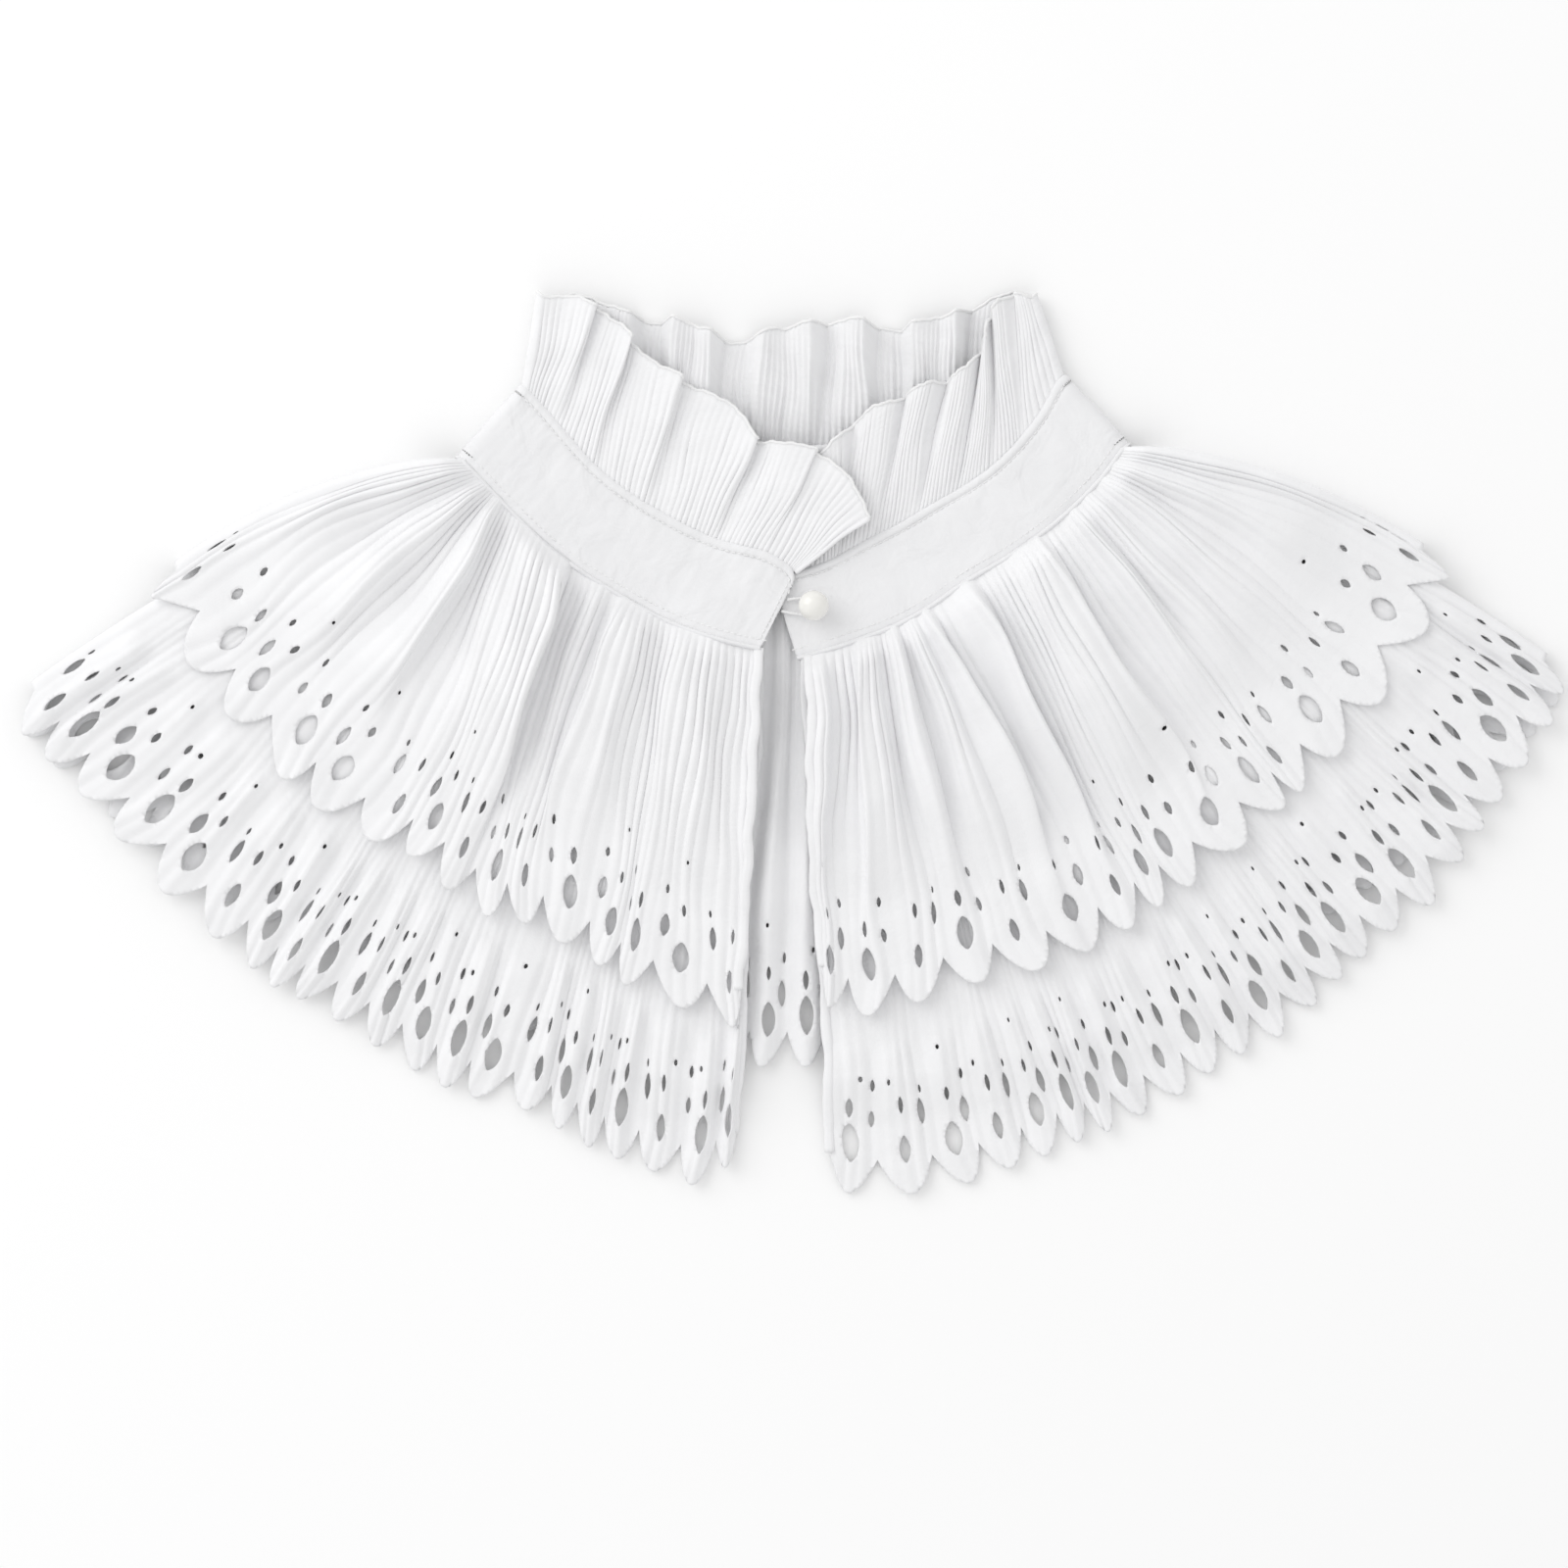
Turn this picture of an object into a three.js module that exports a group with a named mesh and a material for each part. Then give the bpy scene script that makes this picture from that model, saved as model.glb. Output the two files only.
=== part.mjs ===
// A pleated lace capelet that lies flat on a table with its buttoned front up.
// Two tiers with scalloped, cut hems hang from a neckband, and a ruffle stands out of the band's top edge.
// X runs across the shoulders, Y from hem to neck, and Z up from the table. Lengths are millimetres.
import * as THREE from 'three';

// Cloth walls
const TIER_WALL = 1.3;
const RUFFLE_WALL = 1.2;
const BAND_WALL = 2.2;
const SEAM_GAP = 0.3;

// Heights of the layers, from the table up
const BACK_LOWER_LIFT = 2.8;
const FRONT_LIFT = 3.6;
const FRONT_UPPER_LIFT = 3.6;
const SEAM_SETTLE = 1.2;
const BACK_BAND_Z = 1.9;
const FRONT_BAND_TOP_Z = 6.6;
const FRONT_BAND_LOW_Z = 8.6;
const LAP_RISE = 2.5;
const LAP_LEVEL = 0.15;
const LAP_FALL = 0.16;
const BAND_STEPS = 24;

// Scalloped hem, measured back from the tips of the scallops
const SCALLOP_DEPTH = 9.5;
const FLANK_DEPTH = 2.8;
const FLANK_AT = 0.21;
const CELL_DEPTH = 24;
const EYELET_TOP = 21;
const EYELET_SHOULDER = 17.6;
const EYELET_HIP = 12.4;
const EYELET_FOOT = 9;
const EYELET_HALF = 0.14;

// Side folds, where a front panel turns down to meet the back panel
const FOLD_WIDTH = 3;
const FOLD_WIDTH_AT_SEAM = 0.8;
const FOLD_STARTS = 0.15;

// The point that the pleats fan out from, and how fast cloth drops past the hem that it covers
const FAN_CENTRE = new THREE.Vector2(0, 102);
const DROP_START = 2;
const DROP_LENGTH = 20;
const HEM_DROP_START = 5;
const HEM_DROP_LENGTH = 15;

// Neckband, a row for each place where its two edges were measured, from the front end round to the side
const BAND_FRONT_LEFT = [
  { topX: 3.7, topY: 55.6, lowX: -8.9, lowY: 30.5 },
  { topX: -5.6, topY: 61.9, lowX: -20.5, lowY: 33.1 },
  { topX: -23.4, topY: 66.9, lowX: -38.5, lowY: 39.2 },
  { topX: -45.3, topY: 77.9, lowX: -59.2, lowY: 50.5 },
  { topX: -61.1, topY: 89.2, lowX: -77.6, lowY: 63.1 },
  { topX: -72.7, topY: 101.8, lowX: -91.5, lowY: 76.3 },
  { topX: -80.5, topY: 110.9, lowX: -100.4, lowY: 85.6 },
  { topX: -85.2, topY: 115.9, lowX: -105.8, lowY: 91.2 },
];
const BAND_BACK = [
  { topX: -85.2, topY: 115.9, lowX: -105.8, lowY: 91.2 },
  { topX: -70.0, topY: 111.5, lowX: -82.0, lowY: 82.5 },
  { topX: -36.0, topY: 102.5, lowX: -41.0, lowY: 71.8 },
  { topX: 0.0, topY: 99.6, lowX: 0.0, lowY: 68.6 },
  { topX: 37.0, topY: 102.8, lowX: 43.0, lowY: 72.2 },
  { topX: 73.0, topY: 113.0, lowX: 86.0, lowY: 85.0 },
  { topX: 88.9, topY: 119.3, lowX: 109.6, lowY: 95.3 },
];
const BAND_FRONT_RIGHT = [
  { topX: -5.3, topY: 54.4, lowX: 3.1, lowY: 27.3 },
  { topX: 11.8, topY: 59.2, lowX: 19.2, lowY: 32.1 },
  { topX: 26.6, topY: 66.9, lowX: 36.3, lowY: 38.5 },
  { topX: 36.9, topY: 72.1, lowX: 47.3, lowY: 44.7 },
  { topX: 48.9, topY: 79.2, lowX: 59.5, lowY: 53.1 },
  { topX: 59.5, topY: 85.3, lowX: 73.1, lowY: 61.1 },
  { topX: 70.5, topY: 93.8, lowX: 88.4, lowY: 72.3 },
  { topX: 82.0, topY: 107.2, lowX: 102.1, lowY: 85.4 },
  { topX: 88.9, topY: 119.3, lowX: 109.6, lowY: 95.3 },
];

// Ruffle, a row for each fold: how far round the band's top edge its foot is, and where its lip is
const RUFFLE_FRONT_LEFT = [
  { foot: 0.01, lipX: 26.9, lipY: 73.1 },
  { foot: 0.05, lipX: 20.8, lipY: 86 },
  { foot: 0.16, lipX: 9.5, lipY: 95.3 },
  { foot: 0.23, lipX: -1.1, lipY: 97.9 },
  { foot: 0.29, lipX: -10.2, lipY: 99.5 },
  { foot: 0.34, lipX: -17.9, lipY: 110.2 },
  { foot: 0.4, lipX: -29.5, lipY: 116.3 },
  { foot: 0.47, lipX: -39.8, lipY: 122.1 },
  { foot: 0.55, lipX: -49.5, lipY: 129.2 },
  { foot: 0.63, lipX: -53.7, lipY: 135.6 },
  { foot: 0.73, lipX: -61.1, lipY: 141.5 },
  { foot: 0.85, lipX: -69.5, lipY: 146.3 },
  { foot: 1, lipX: -80.3, lipY: 146.8 },
];
const RUFFLE_BACK = [
  { foot: 0, lipX: -80.3, lipY: 146.8 },
  { foot: 0.13, lipX: -68.9, lipY: 147.3 },
  { foot: 0.23, lipX: -54.4, lipY: 141.1 },
  { foot: 0.32, lipX: -36.6, lipY: 137.6 },
  { foot: 0.41, lipX: -18.9, lipY: 132.4 },
  { foot: 0.49, lipX: -0.5, lipY: 135.3 },
  { foot: 0.58, lipX: 18.9, lipY: 137.9 },
  { foot: 0.67, lipX: 37.6, lipY: 136.6 },
  { foot: 0.75, lipX: 55.3, lipY: 140.2 },
  { foot: 0.83, lipX: 73.1, lipY: 148.2 },
  { foot: 1, lipX: 80.1, lipY: 146.6 },
];
const RUFFLE_FRONT_RIGHT = [
  { foot: 0.02, lipX: -4.4, lipY: 82.7 },
  { foot: 0.07, lipX: 3.7, lipY: 89.2 },
  { foot: 0.13, lipX: 13.4, lipY: 96.3 },
  { foot: 0.18, lipX: 24.7, lipY: 107.3 },
  { foot: 0.25, lipX: 35, lipY: 111.8 },
  { foot: 0.34, lipX: 42.4, lipY: 115.6 },
  { foot: 0.43, lipX: 51.1, lipY: 118.5 },
  { foot: 0.51, lipX: 58.2, lipY: 122.1 },
  { foot: 0.59, lipX: 64.4, lipY: 130.5 },
  { foot: 0.68, lipX: 66, lipY: 137.6 },
  { foot: 0.77, lipX: 68.5, lipY: 143.4 },
  { foot: 0.84, lipX: 74.7, lipY: 147.7 },
  { foot: 1, lipX: 80.1, lipY: 146.6 },
];
const RUFFLE_BACK_WAVES = 18;
const RUFFLE_LOW = 5.2;
const RUFFLE_HIGH = 8.4;
const RUFFLE_LAP_LOW = 10.3;
const RUFFLE_LAP_HIGH = 13.2;
const RUFFLE_BACK_LOW = 0.6;
const RUFFLE_BACK_HIGH = 3.7;
const RUFFLE_GAP = 0.4;

// Tier panels, a row for each pleat line that was followed from the band to the hem.
// pleat counts scallops from the panel's first edge, seam is how far round the band it starts, angle turns
// from straight down, reach is how far its tip is from the fan centre, and bow is its sag to the outside.
const FRONT_UPPER_LEFT = {
  name: 'upper_tier_front_left', side: -1, pleats: 15, band: 'left',
  lines: [
    { pleat: 0, seam: 0, angle: 4.6, reach: 196, bow: 0 },
    { pleat: 3, seam: 0.25, angle: 17.6, reach: 189.5, bow: 0 },
    { pleat: 5.5, seam: 0.44, angle: 28.8, reach: 184.5, bow: 3 },
    { pleat: 7.3, seam: 0.6, angle: 36.3, reach: 187.5, bow: -1.5 },
    { pleat: 10.2, seam: 0.83, angle: 50.5, reach: 198, bow: -4 },
    { pleat: 12.5, seam: 0.91, angle: 64, reach: 207.5, bow: 2 },
    { pleat: 15, seam: 1, angle: 75.8, reach: 217, bow: 9 },
  ],
};
const FRONT_UPPER_RIGHT = {
  name: 'upper_tier_front_right', side: 1, pleats: 16, band: 'right',
  lines: [
    { pleat: 0, seam: 0.02, angle: 3.6, reach: 188, bow: 0 },
    { pleat: 1.5, seam: 0.15, angle: 8.5, reach: 194, bow: 0 },
    { pleat: 3.6, seam: 0.26, angle: 18.8, reach: 192, bow: 0 },
    { pleat: 5.5, seam: 0.36, angle: 29, reach: 197.5, bow: 1 },
    { pleat: 6.8, seam: 0.54, angle: 36.2, reach: 198.5, bow: 0 },
    { pleat: 9.5, seam: 0.66, angle: 46.5, reach: 202, bow: -2 },
    { pleat: 11, seam: 0.85, angle: 54, reach: 206, bow: -2 },
    { pleat: 13.5, seam: 0.93, angle: 66.5, reach: 215, bow: 3 },
    { pleat: 16, seam: 1, angle: 78, reach: 223.5, bow: 8 },
  ],
};
const FRONT_LOWER_LEFT = {
  name: 'lower_tier_front_left', side: -1, pleats: 21, band: 'left',
  lines: [
    { pleat: 0, seam: 0, angle: 4.2, reach: 243.5, bow: 0 },
    { pleat: 1.5, seam: 0.05, angle: 6.9, reach: 250, bow: 0 },
    { pleat: 4.5, seam: 0.22, angle: 16, reach: 244.7, bow: 0 },
    { pleat: 6.5, seam: 0.31, angle: 20.8, reach: 240.5, bow: 1 },
    { pleat: 9.5, seam: 0.47, angle: 30.9, reach: 244.3, bow: 1 },
    { pleat: 12.5, seam: 0.66, angle: 40.4, reach: 247, bow: -2 },
    { pleat: 15.5, seam: 0.81, angle: 49.3, reach: 253, bow: -1 },
    { pleat: 18.5, seam: 0.91, angle: 62.5, reach: 262, bow: 3 },
    { pleat: 21, seam: 0.97, angle: 70.3, reach: 274, bow: 8 },
  ],
};
const FRONT_LOWER_RIGHT = {
  name: 'lower_tier_front_right', side: 1, pleats: 22, band: 'right',
  lines: [
    { pleat: 0, seam: 0.02, angle: 3.4, reach: 250, bow: 0 },
    { pleat: 2.5, seam: 0.2, angle: 13.1, reach: 255, bow: 0 },
    { pleat: 6, seam: 0.31, angle: 24.7, reach: 254, bow: 0 },
    { pleat: 10, seam: 0.54, angle: 36.7, reach: 254.6, bow: 0 },
    { pleat: 14, seam: 0.69, angle: 47.8, reach: 257.5, bow: -2 },
    { pleat: 16, seam: 0.85, angle: 54.2, reach: 263.5, bow: -1 },
    { pleat: 18, seam: 0.9, angle: 60.5, reach: 264, bow: 1 },
    { pleat: 20, seam: 0.94, angle: 67, reach: 268.5, bow: 5 },
    { pleat: 22, seam: 0.97, angle: 72.3, reach: 272, bow: 8 },
  ],
};
const BACK_UPPER = {
  name: 'upper_tier_back', side: 1, pleats: 29, band: 'back', foldsBoth: true,
  lines: [
    { pleat: 0, seam: 0, angle: -75.8, reach: 217, bow: -9 },
    { pleat: 5, seam: 0.1, angle: -52, reach: 181, bow: -2 },
    { pleat: 10, seam: 0.3, angle: -22, reach: 155, bow: 0 },
    { pleat: 14.5, seam: 0.5, angle: 0, reach: 149, bow: 0 },
    { pleat: 19, seam: 0.7, angle: 22, reach: 155, bow: 0 },
    { pleat: 24, seam: 0.9, angle: 54, reach: 183, bow: 2 },
    { pleat: 29, seam: 1, angle: 78, reach: 223.5, bow: 8 },
  ],
};
const BACK_LOWER = {
  name: 'lower_tier_back', side: 1, pleats: 40, band: 'back', foldsBoth: true,
  lines: [
    { pleat: 0, seam: 0.02, angle: -70.3, reach: 274, bow: -8 },
    { pleat: 7, seam: 0.11, angle: -49, reach: 240, bow: -2 },
    { pleat: 13, seam: 0.28, angle: -25, reach: 216, bow: 0 },
    { pleat: 20, seam: 0.5, angle: 0, reach: 209.5, bow: 0 },
    { pleat: 27, seam: 0.72, angle: 25, reach: 216, bow: 0 },
    { pleat: 33, seam: 0.89, angle: 50, reach: 242, bow: 2 },
    { pleat: 40, seam: 0.98, angle: 72.3, reach: 272, bow: 8 },
  ],
};

// Main folds of the front tiers, a row for each crest or valley: its pleat, and how far it rises
// over the layer below at the seam, half way down and at the hem
const FOLDS_UPPER_LEFT = [
  { pleat: 0, seam: 1, middle: 1.5, hem: 1 },
  { pleat: 1.5, seam: 1.5, middle: 2, hem: 1 },
  { pleat: 2.5, seam: 2.5, middle: 2.5, hem: 1.5 },
  { pleat: 3.5, seam: 0.6, middle: 0.6, hem: 0.8 },
  { pleat: 5, seam: 3.5, middle: 4.2, hem: 2.5 },
  { pleat: 5.5, seam: 0.5, middle: 0.5, hem: 1 },
  { pleat: 6, seam: 2.5, middle: 2.2, hem: 1.5 },
  { pleat: 7, seam: 0, middle: 0, hem: 0.3 },
  { pleat: 7.5, seam: 4, middle: 5.6, hem: 3.6 },
  { pleat: 9, seam: 3, middle: 4, hem: 2.6 },
  { pleat: 10, seam: 0.5, middle: 0.3, hem: 0.8 },
  { pleat: 11, seam: 3, middle: 4.2, hem: 3 },
  { pleat: 12, seam: 1, middle: 1, hem: 1 },
  { pleat: 12.5, seam: 2.5, middle: 3.6, hem: 2.4 },
  { pleat: 13.5, seam: 1, middle: 1, hem: 1 },
  { pleat: 14.5, seam: 1, middle: 2, hem: 1.5 },
  { pleat: 15, seam: 0.3, middle: 0.6, hem: 0.4 },
];
const FOLDS_UPPER_RIGHT = [
  { pleat: 0, seam: 1.5, middle: 2.2, hem: 1.4 },
  { pleat: 1, seam: 0.2, middle: 0.2, hem: 0.4 },
  { pleat: 2, seam: 3, middle: 4.2, hem: 2.5 },
  { pleat: 3, seam: 0.5, middle: 0.5, hem: 0.8 },
  { pleat: 3.5, seam: 3.2, middle: 4.4, hem: 3 },
  { pleat: 4, seam: 0.8, middle: 0.8, hem: 1 },
  { pleat: 5, seam: 3, middle: 4, hem: 2.6 },
  { pleat: 6, seam: 0.4, middle: 0.4, hem: 0.6 },
  { pleat: 6.5, seam: 3, middle: 4.4, hem: 3 },
  { pleat: 7, seam: 0, middle: 0, hem: 0 },
  { pleat: 8, seam: 2, middle: 2.4, hem: 2 },
  { pleat: 9.5, seam: 4, middle: 5.5, hem: 3.2 },
  { pleat: 10, seam: 0, middle: 0.2, hem: 0.5 },
  { pleat: 11, seam: 2.4, middle: 3.8, hem: 2.8 },
  { pleat: 11.5, seam: 0.8, middle: 0.8, hem: 1 },
  { pleat: 12.5, seam: 2, middle: 3.2, hem: 2.2 },
  { pleat: 13, seam: 0.8, middle: 0.8, hem: 1 },
  { pleat: 14, seam: 1.5, middle: 2.8, hem: 2 },
  { pleat: 15, seam: 0.8, middle: 1, hem: 1 },
  { pleat: 16, seam: 0.3, middle: 0.6, hem: 0.4 },
];

// How high the pleats stand at the seam and lower down
const RIPPLE_AT_SEAM = 0.8;
const RIPPLE_COVERED = 2;
const RIPPLE_OPEN = 2.8;
const RIPPLE_AT_TIP = 1.2;
const RIPPLE_GROWS = 0.12;
const RIPPLE_GROWS_SLOWLY = 0.45;

// Pearl button and the thread loop round its shank
const PEARL_RADIUS = 5;
const PEARL_CENTRE = new THREE.Vector2(8.5, 44.4);
const SHANK_RADIUS = 1.2;
const SHANK_LENGTH = 1.5;
const LOOP_RADIUS = 0.6;
const LOOP_BEND = 2.6;
const LOOP_Z = 9.75;
const LOOP_SIDES = 8;
const LOOP_STEPS = 28;
const PEARL_SIDES = 20;
const PEARL_RINGS = 12;

const DEGREE = Math.PI / 180;

function ramp(value) {
  return Math.min(1, Math.max(0, value));
}

// Reads a column of a table at any place between its rows, without overshooting a row
function readTable(rows, key, column, at) {
  const last = rows.length - 1;
  if (at <= rows[0][key]) return rows[0][column];
  if (at >= rows[last][key]) return rows[last][column];
  let i = 0;
  while (rows[i + 1][key] < at) i += 1;
  const step = (j) => rows[j + 1][key] - rows[j][key];
  const slope = (j) => (rows[j + 1][column] - rows[j][column]) / step(j);
  const tangent = (j) => {
    if (j === 0) return slope(0);
    if (j === last) return slope(last - 1);
    const before = slope(j - 1);
    const after = slope(j);
    return before * after <= 0 ? 0 : (2 * before * after) / (before + after);
  };
  const h = step(i);
  const t = (at - rows[i][key]) / h;
  const rise = rows[i + 1][column] - rows[i][column];
  const start = tangent(i) * h;
  const end = tangent(i + 1) * h;
  const curved = t * t * (3 * rise - 2 * start - end) + t * t * t * (start + end - 2 * rise);
  return rows[i][column] + t * start + curved;
}

function curveThrough(rows, xColumn, yColumn) {
  const places = rows.map((row) => new THREE.Vector3(row[xColumn], row[yColumn], 0));
  return new THREE.CatmullRomCurve3(places);
}

const bandCurves = {};
const bandTables = { left: BAND_FRONT_LEFT, back: BAND_BACK, right: BAND_FRONT_RIGHT };
for (const [part, rows] of Object.entries(bandTables)) {
  bandCurves[part] = { top: curveThrough(rows, 'topX', 'topY'), low: curveThrough(rows, 'lowX', 'lowY') };
}

// A closed wall from a net of triangles whose corners each have an outer and an inner point
function wallGeometry(corners, triangles) {
  const positions = [];
  const index = [];
  for (const corner of corners) {
    positions.push(...corner.outer, ...corner.inner);
  }
  const edges = new Map();
  for (const [a, b, c] of triangles) {
    index.push(2 * a, 2 * b, 2 * c, 2 * a + 1, 2 * c + 1, 2 * b + 1);
    for (const [from, to] of [[a, b], [b, c], [c, a]]) {
      edges.set(`${from} ${to}`, [from, to]);
    }
  }
  for (const [from, to] of edges.values()) {
    if (!edges.has(`${to} ${from}`)) {
      index.push(2 * from, 2 * from + 1, 2 * to + 1, 2 * from, 2 * to + 1, 2 * to);
    }
  }
  const geometry = new THREE.BufferGeometry();
  geometry.setAttribute('position', new THREE.Float32BufferAttribute(positions, 3));
  geometry.setIndex(index);
  return geometry;
}

function grid(columns, rows, cornerOf) {
  const corners = [];
  const triangles = [];
  for (let i = 0; i < columns; i += 1) {
    for (let j = 0; j < rows; j += 1) {
      corners.push(cornerOf(i, j));
      if (i > 0 && j > 0) {
        const here = i * rows + j;
        triangles.push([here - rows - 1, here - 1, here], [here - rows - 1, here, here - rows]);
      }
    }
  }
  return { corners, triangles };
}

function fanPlace(x, y) {
  const dx = x - FAN_CENTRE.x;
  const dy = FAN_CENTRE.y - y;
  return { angle: Math.atan2(dx, dy) / DEGREE, reach: Math.hypot(dx, dy) };
}

// How far a place is past the hem of a back panel, outwards from the fan centre
function pastHem(panel, x, y) {
  const place = fanPlace(x, y);
  return place.reach - readTable(panel.lines, 'angle', 'reach', place.angle);
}

// 1 where the short back tier lies underneath, falling to 0 past its hem
function overBackUpper(x, y) {
  return 1 - ramp((pastHem(BACK_UPPER, x, y) - DROP_START) / DROP_LENGTH);
}

function overBackLower(x, y) {
  return 1 - ramp((pastHem(BACK_LOWER, x, y) - HEM_DROP_START) / HEM_DROP_LENGTH);
}

// A pleat line runs from the band's lower edge to the hem, with a bow to the outside
function pleatLine(panel, pleat) {
  const read = (column) => readTable(panel.lines, 'pleat', column, pleat);
  const low = bandCurves[panel.band].low;
  const round = low.getUtoTmapping(read('seam'));
  const seam = low.getPoint(round);
  const top = bandCurves[panel.band].top.getPoint(round);
  const away = new THREE.Vector2(seam.x - top.x, seam.y - top.y).normalize();
  const start = new THREE.Vector2(seam.x, seam.y).addScaledVector(away, SEAM_GAP);
  const angle = read('angle') * panel.side * DEGREE;
  const down = new THREE.Vector2(Math.sin(angle), -Math.cos(angle));
  const tip = down.multiplyScalar(read('reach')).add(FAN_CENTRE);
  const chord = tip.clone().sub(start);
  const length = chord.length();
  const outside = new THREE.Vector2(-chord.y, chord.x).divideScalar(length).multiplyScalar(panel.side);
  const bow = read('bow');
  const at = (along) => {
    const sag = bow * 4 * along * (1 - along);
    return start.clone().addScaledVector(chord, along).addScaledVector(outside, sag);
  };
  return { at, length, outside };
}

// Where along a pleat line it passes a given distance beyond the short back tier's hem
function alongPastHem(line, beyond) {
  let near = 0;
  let far = 1;
  for (let step = 0; step < 24; step += 1) {
    const middle = (near + far) / 2;
    const place = line.at(middle);
    if (pastHem(BACK_UPPER, place.x, place.y) < beyond) near = middle;
    else far = middle;
  }
  return far;
}

function foldRise(folds, pleat, along) {
  if (!folds) return 0;
  const seam = readTable(folds, 'pleat', 'seam', pleat);
  const middle = readTable(folds, 'pleat', 'middle', pleat);
  const hem = readTable(folds, 'pleat', 'hem', pleat);
  return along < 0.5 ? seam + (middle - seam) * 2 * along : middle + (hem - middle) * (2 * along - 1);
}

// Height of each layer over the table, without its pleats
const layers = {
  backUpper: () => 0,
  backLower: (x, y) => BACK_LOWER_LIFT * overBackUpper(x, y),
  frontLower: (x, y) => BACK_LOWER_LIFT * overBackUpper(x, y) + FRONT_LIFT * overBackLower(x, y),
  frontUpper: (x, y, along) => {
    const settled = SEAM_SETTLE * (1 - ramp(along / RIPPLE_GROWS));
    return BACK_LOWER_LIFT + FRONT_LIFT + FRONT_UPPER_LIFT - settled;
  },
};

// Builds one length of a tier. Each scallop is a cell with a valley on both sides, a ridge through its tip and
// one cut eyelet on the ridge. The side edges turn towards the panel on the other face of the fold.
function tierPanel(panel, options) {
  const { layer, folds, flatUnder, openRipple, meetHeight, rowsOf } = options;
  const grows = options.grows ?? RIPPLE_GROWS;
  const corners = [];
  const triangles = [];
  const rippleAt = (along, depth) => {
    const grown = RIPPLE_AT_SEAM + (RIPPLE_COVERED - RIPPLE_AT_SEAM) * ramp(along / grows);
    const open = openRipple ? (RIPPLE_OPEN - RIPPLE_COVERED) * ramp((along - 0.55) / 0.25) : 0;
    const tip = depth < SCALLOP_DEPTH ? (SCALLOP_DEPTH - depth) / SCALLOP_DEPTH : 0;
    return (grown + open) * (1 - tip) + RIPPLE_AT_TIP * tip;
  };
  const addCorner = (line, pleat, along, depth, ridge) => {
    const place = line.at(along);
    const lift = layer(place.x, place.y, along);
    const ripple = ridge * rippleAt(along, depth);
    const low = flatUnder ? lift : lift + foldRise(folds, pleat, along) + ripple;
    const high = flatUnder ? lift + TIER_WALL + ripple * 0.6 : low + TIER_WALL;
    corners.push({ outer: [place.x, place.y, high], inner: [place.x, place.y, low] });
    return corners.length - 1;
  };
  const atDepth = (line, depth) => 1 - depth / line.length;

  // One column of corners down a pleat line, to the top of the scallops' cells
  const column = (pleat, ridge) => {
    const line = pleatLine(panel, pleat);
    return rowsOf(line).map((along) => addCorner(line, pleat, along, CELL_DEPTH, ridge));
  };
  const strip = (left, right, count) => {
    for (let row = 1; row < count; row += 1) {
      triangles.push([left[row - 1], left[row], right[row]], [left[row - 1], right[row], right[row - 1]]);
    }
  };
  const hemCorner = (pleat, depth, ridge) => {
    const line = pleatLine(panel, pleat);
    return addCorner(line, pleat, atDepth(line, depth), depth, ridge);
  };

  let valley = column(0, 0);
  let notch = hemCorner(0, SCALLOP_DEPTH, 0);
  const firstValley = valley;
  const firstNotch = notch;
  for (let k = 0; k < panel.pleats; k += 1) {
    const crest = column(k + 0.5, 1);
    const nextValley = column(k + 1, 0);
    const nextNotch = hemCorner(k + 1, SCALLOP_DEPTH, 0);
    strip(valley, crest, valley.length);
    strip(crest, nextValley, valley.length);
    const top = crest[crest.length - 1];
    const sideA = valley[valley.length - 1];
    const sideB = nextValley[nextValley.length - 1];
    const ridgeBeside = 1 - 2 * EYELET_HALF;
    const eyeletTop = hemCorner(k + 0.5, EYELET_TOP, 1);
    const eyeletFoot = hemCorner(k + 0.5, EYELET_FOOT, 1);
    const shoulderA = hemCorner(k + 0.5 - EYELET_HALF, EYELET_SHOULDER, ridgeBeside);
    const hipA = hemCorner(k + 0.5 - EYELET_HALF, EYELET_HIP, ridgeBeside);
    const shoulderB = hemCorner(k + 0.5 + EYELET_HALF, EYELET_SHOULDER, ridgeBeside);
    const hipB = hemCorner(k + 0.5 + EYELET_HALF, EYELET_HIP, ridgeBeside);
    const flankA = hemCorner(k + FLANK_AT, FLANK_DEPTH, 2 * FLANK_AT);
    const flankB = hemCorner(k + 1 - FLANK_AT, FLANK_DEPTH, 2 * FLANK_AT);
    const tip = hemCorner(k + 0.5, 0, 1);
    triangles.push(
      [sideA, eyeletTop, top], [sideA, shoulderA, eyeletTop], [sideA, notch, shoulderA],
      [notch, hipA, shoulderA], [notch, flankA, hipA], [flankA, eyeletFoot, hipA],
      [flankA, tip, eyeletFoot],
      [top, eyeletTop, sideB], [eyeletTop, shoulderB, sideB], [shoulderB, nextNotch, sideB],
      [shoulderB, hipB, nextNotch], [hipB, flankB, nextNotch], [hipB, eyeletFoot, flankB],
      [eyeletFoot, tip, flankB],
    );
    valley = nextValley;
    notch = nextNotch;
  }

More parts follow.
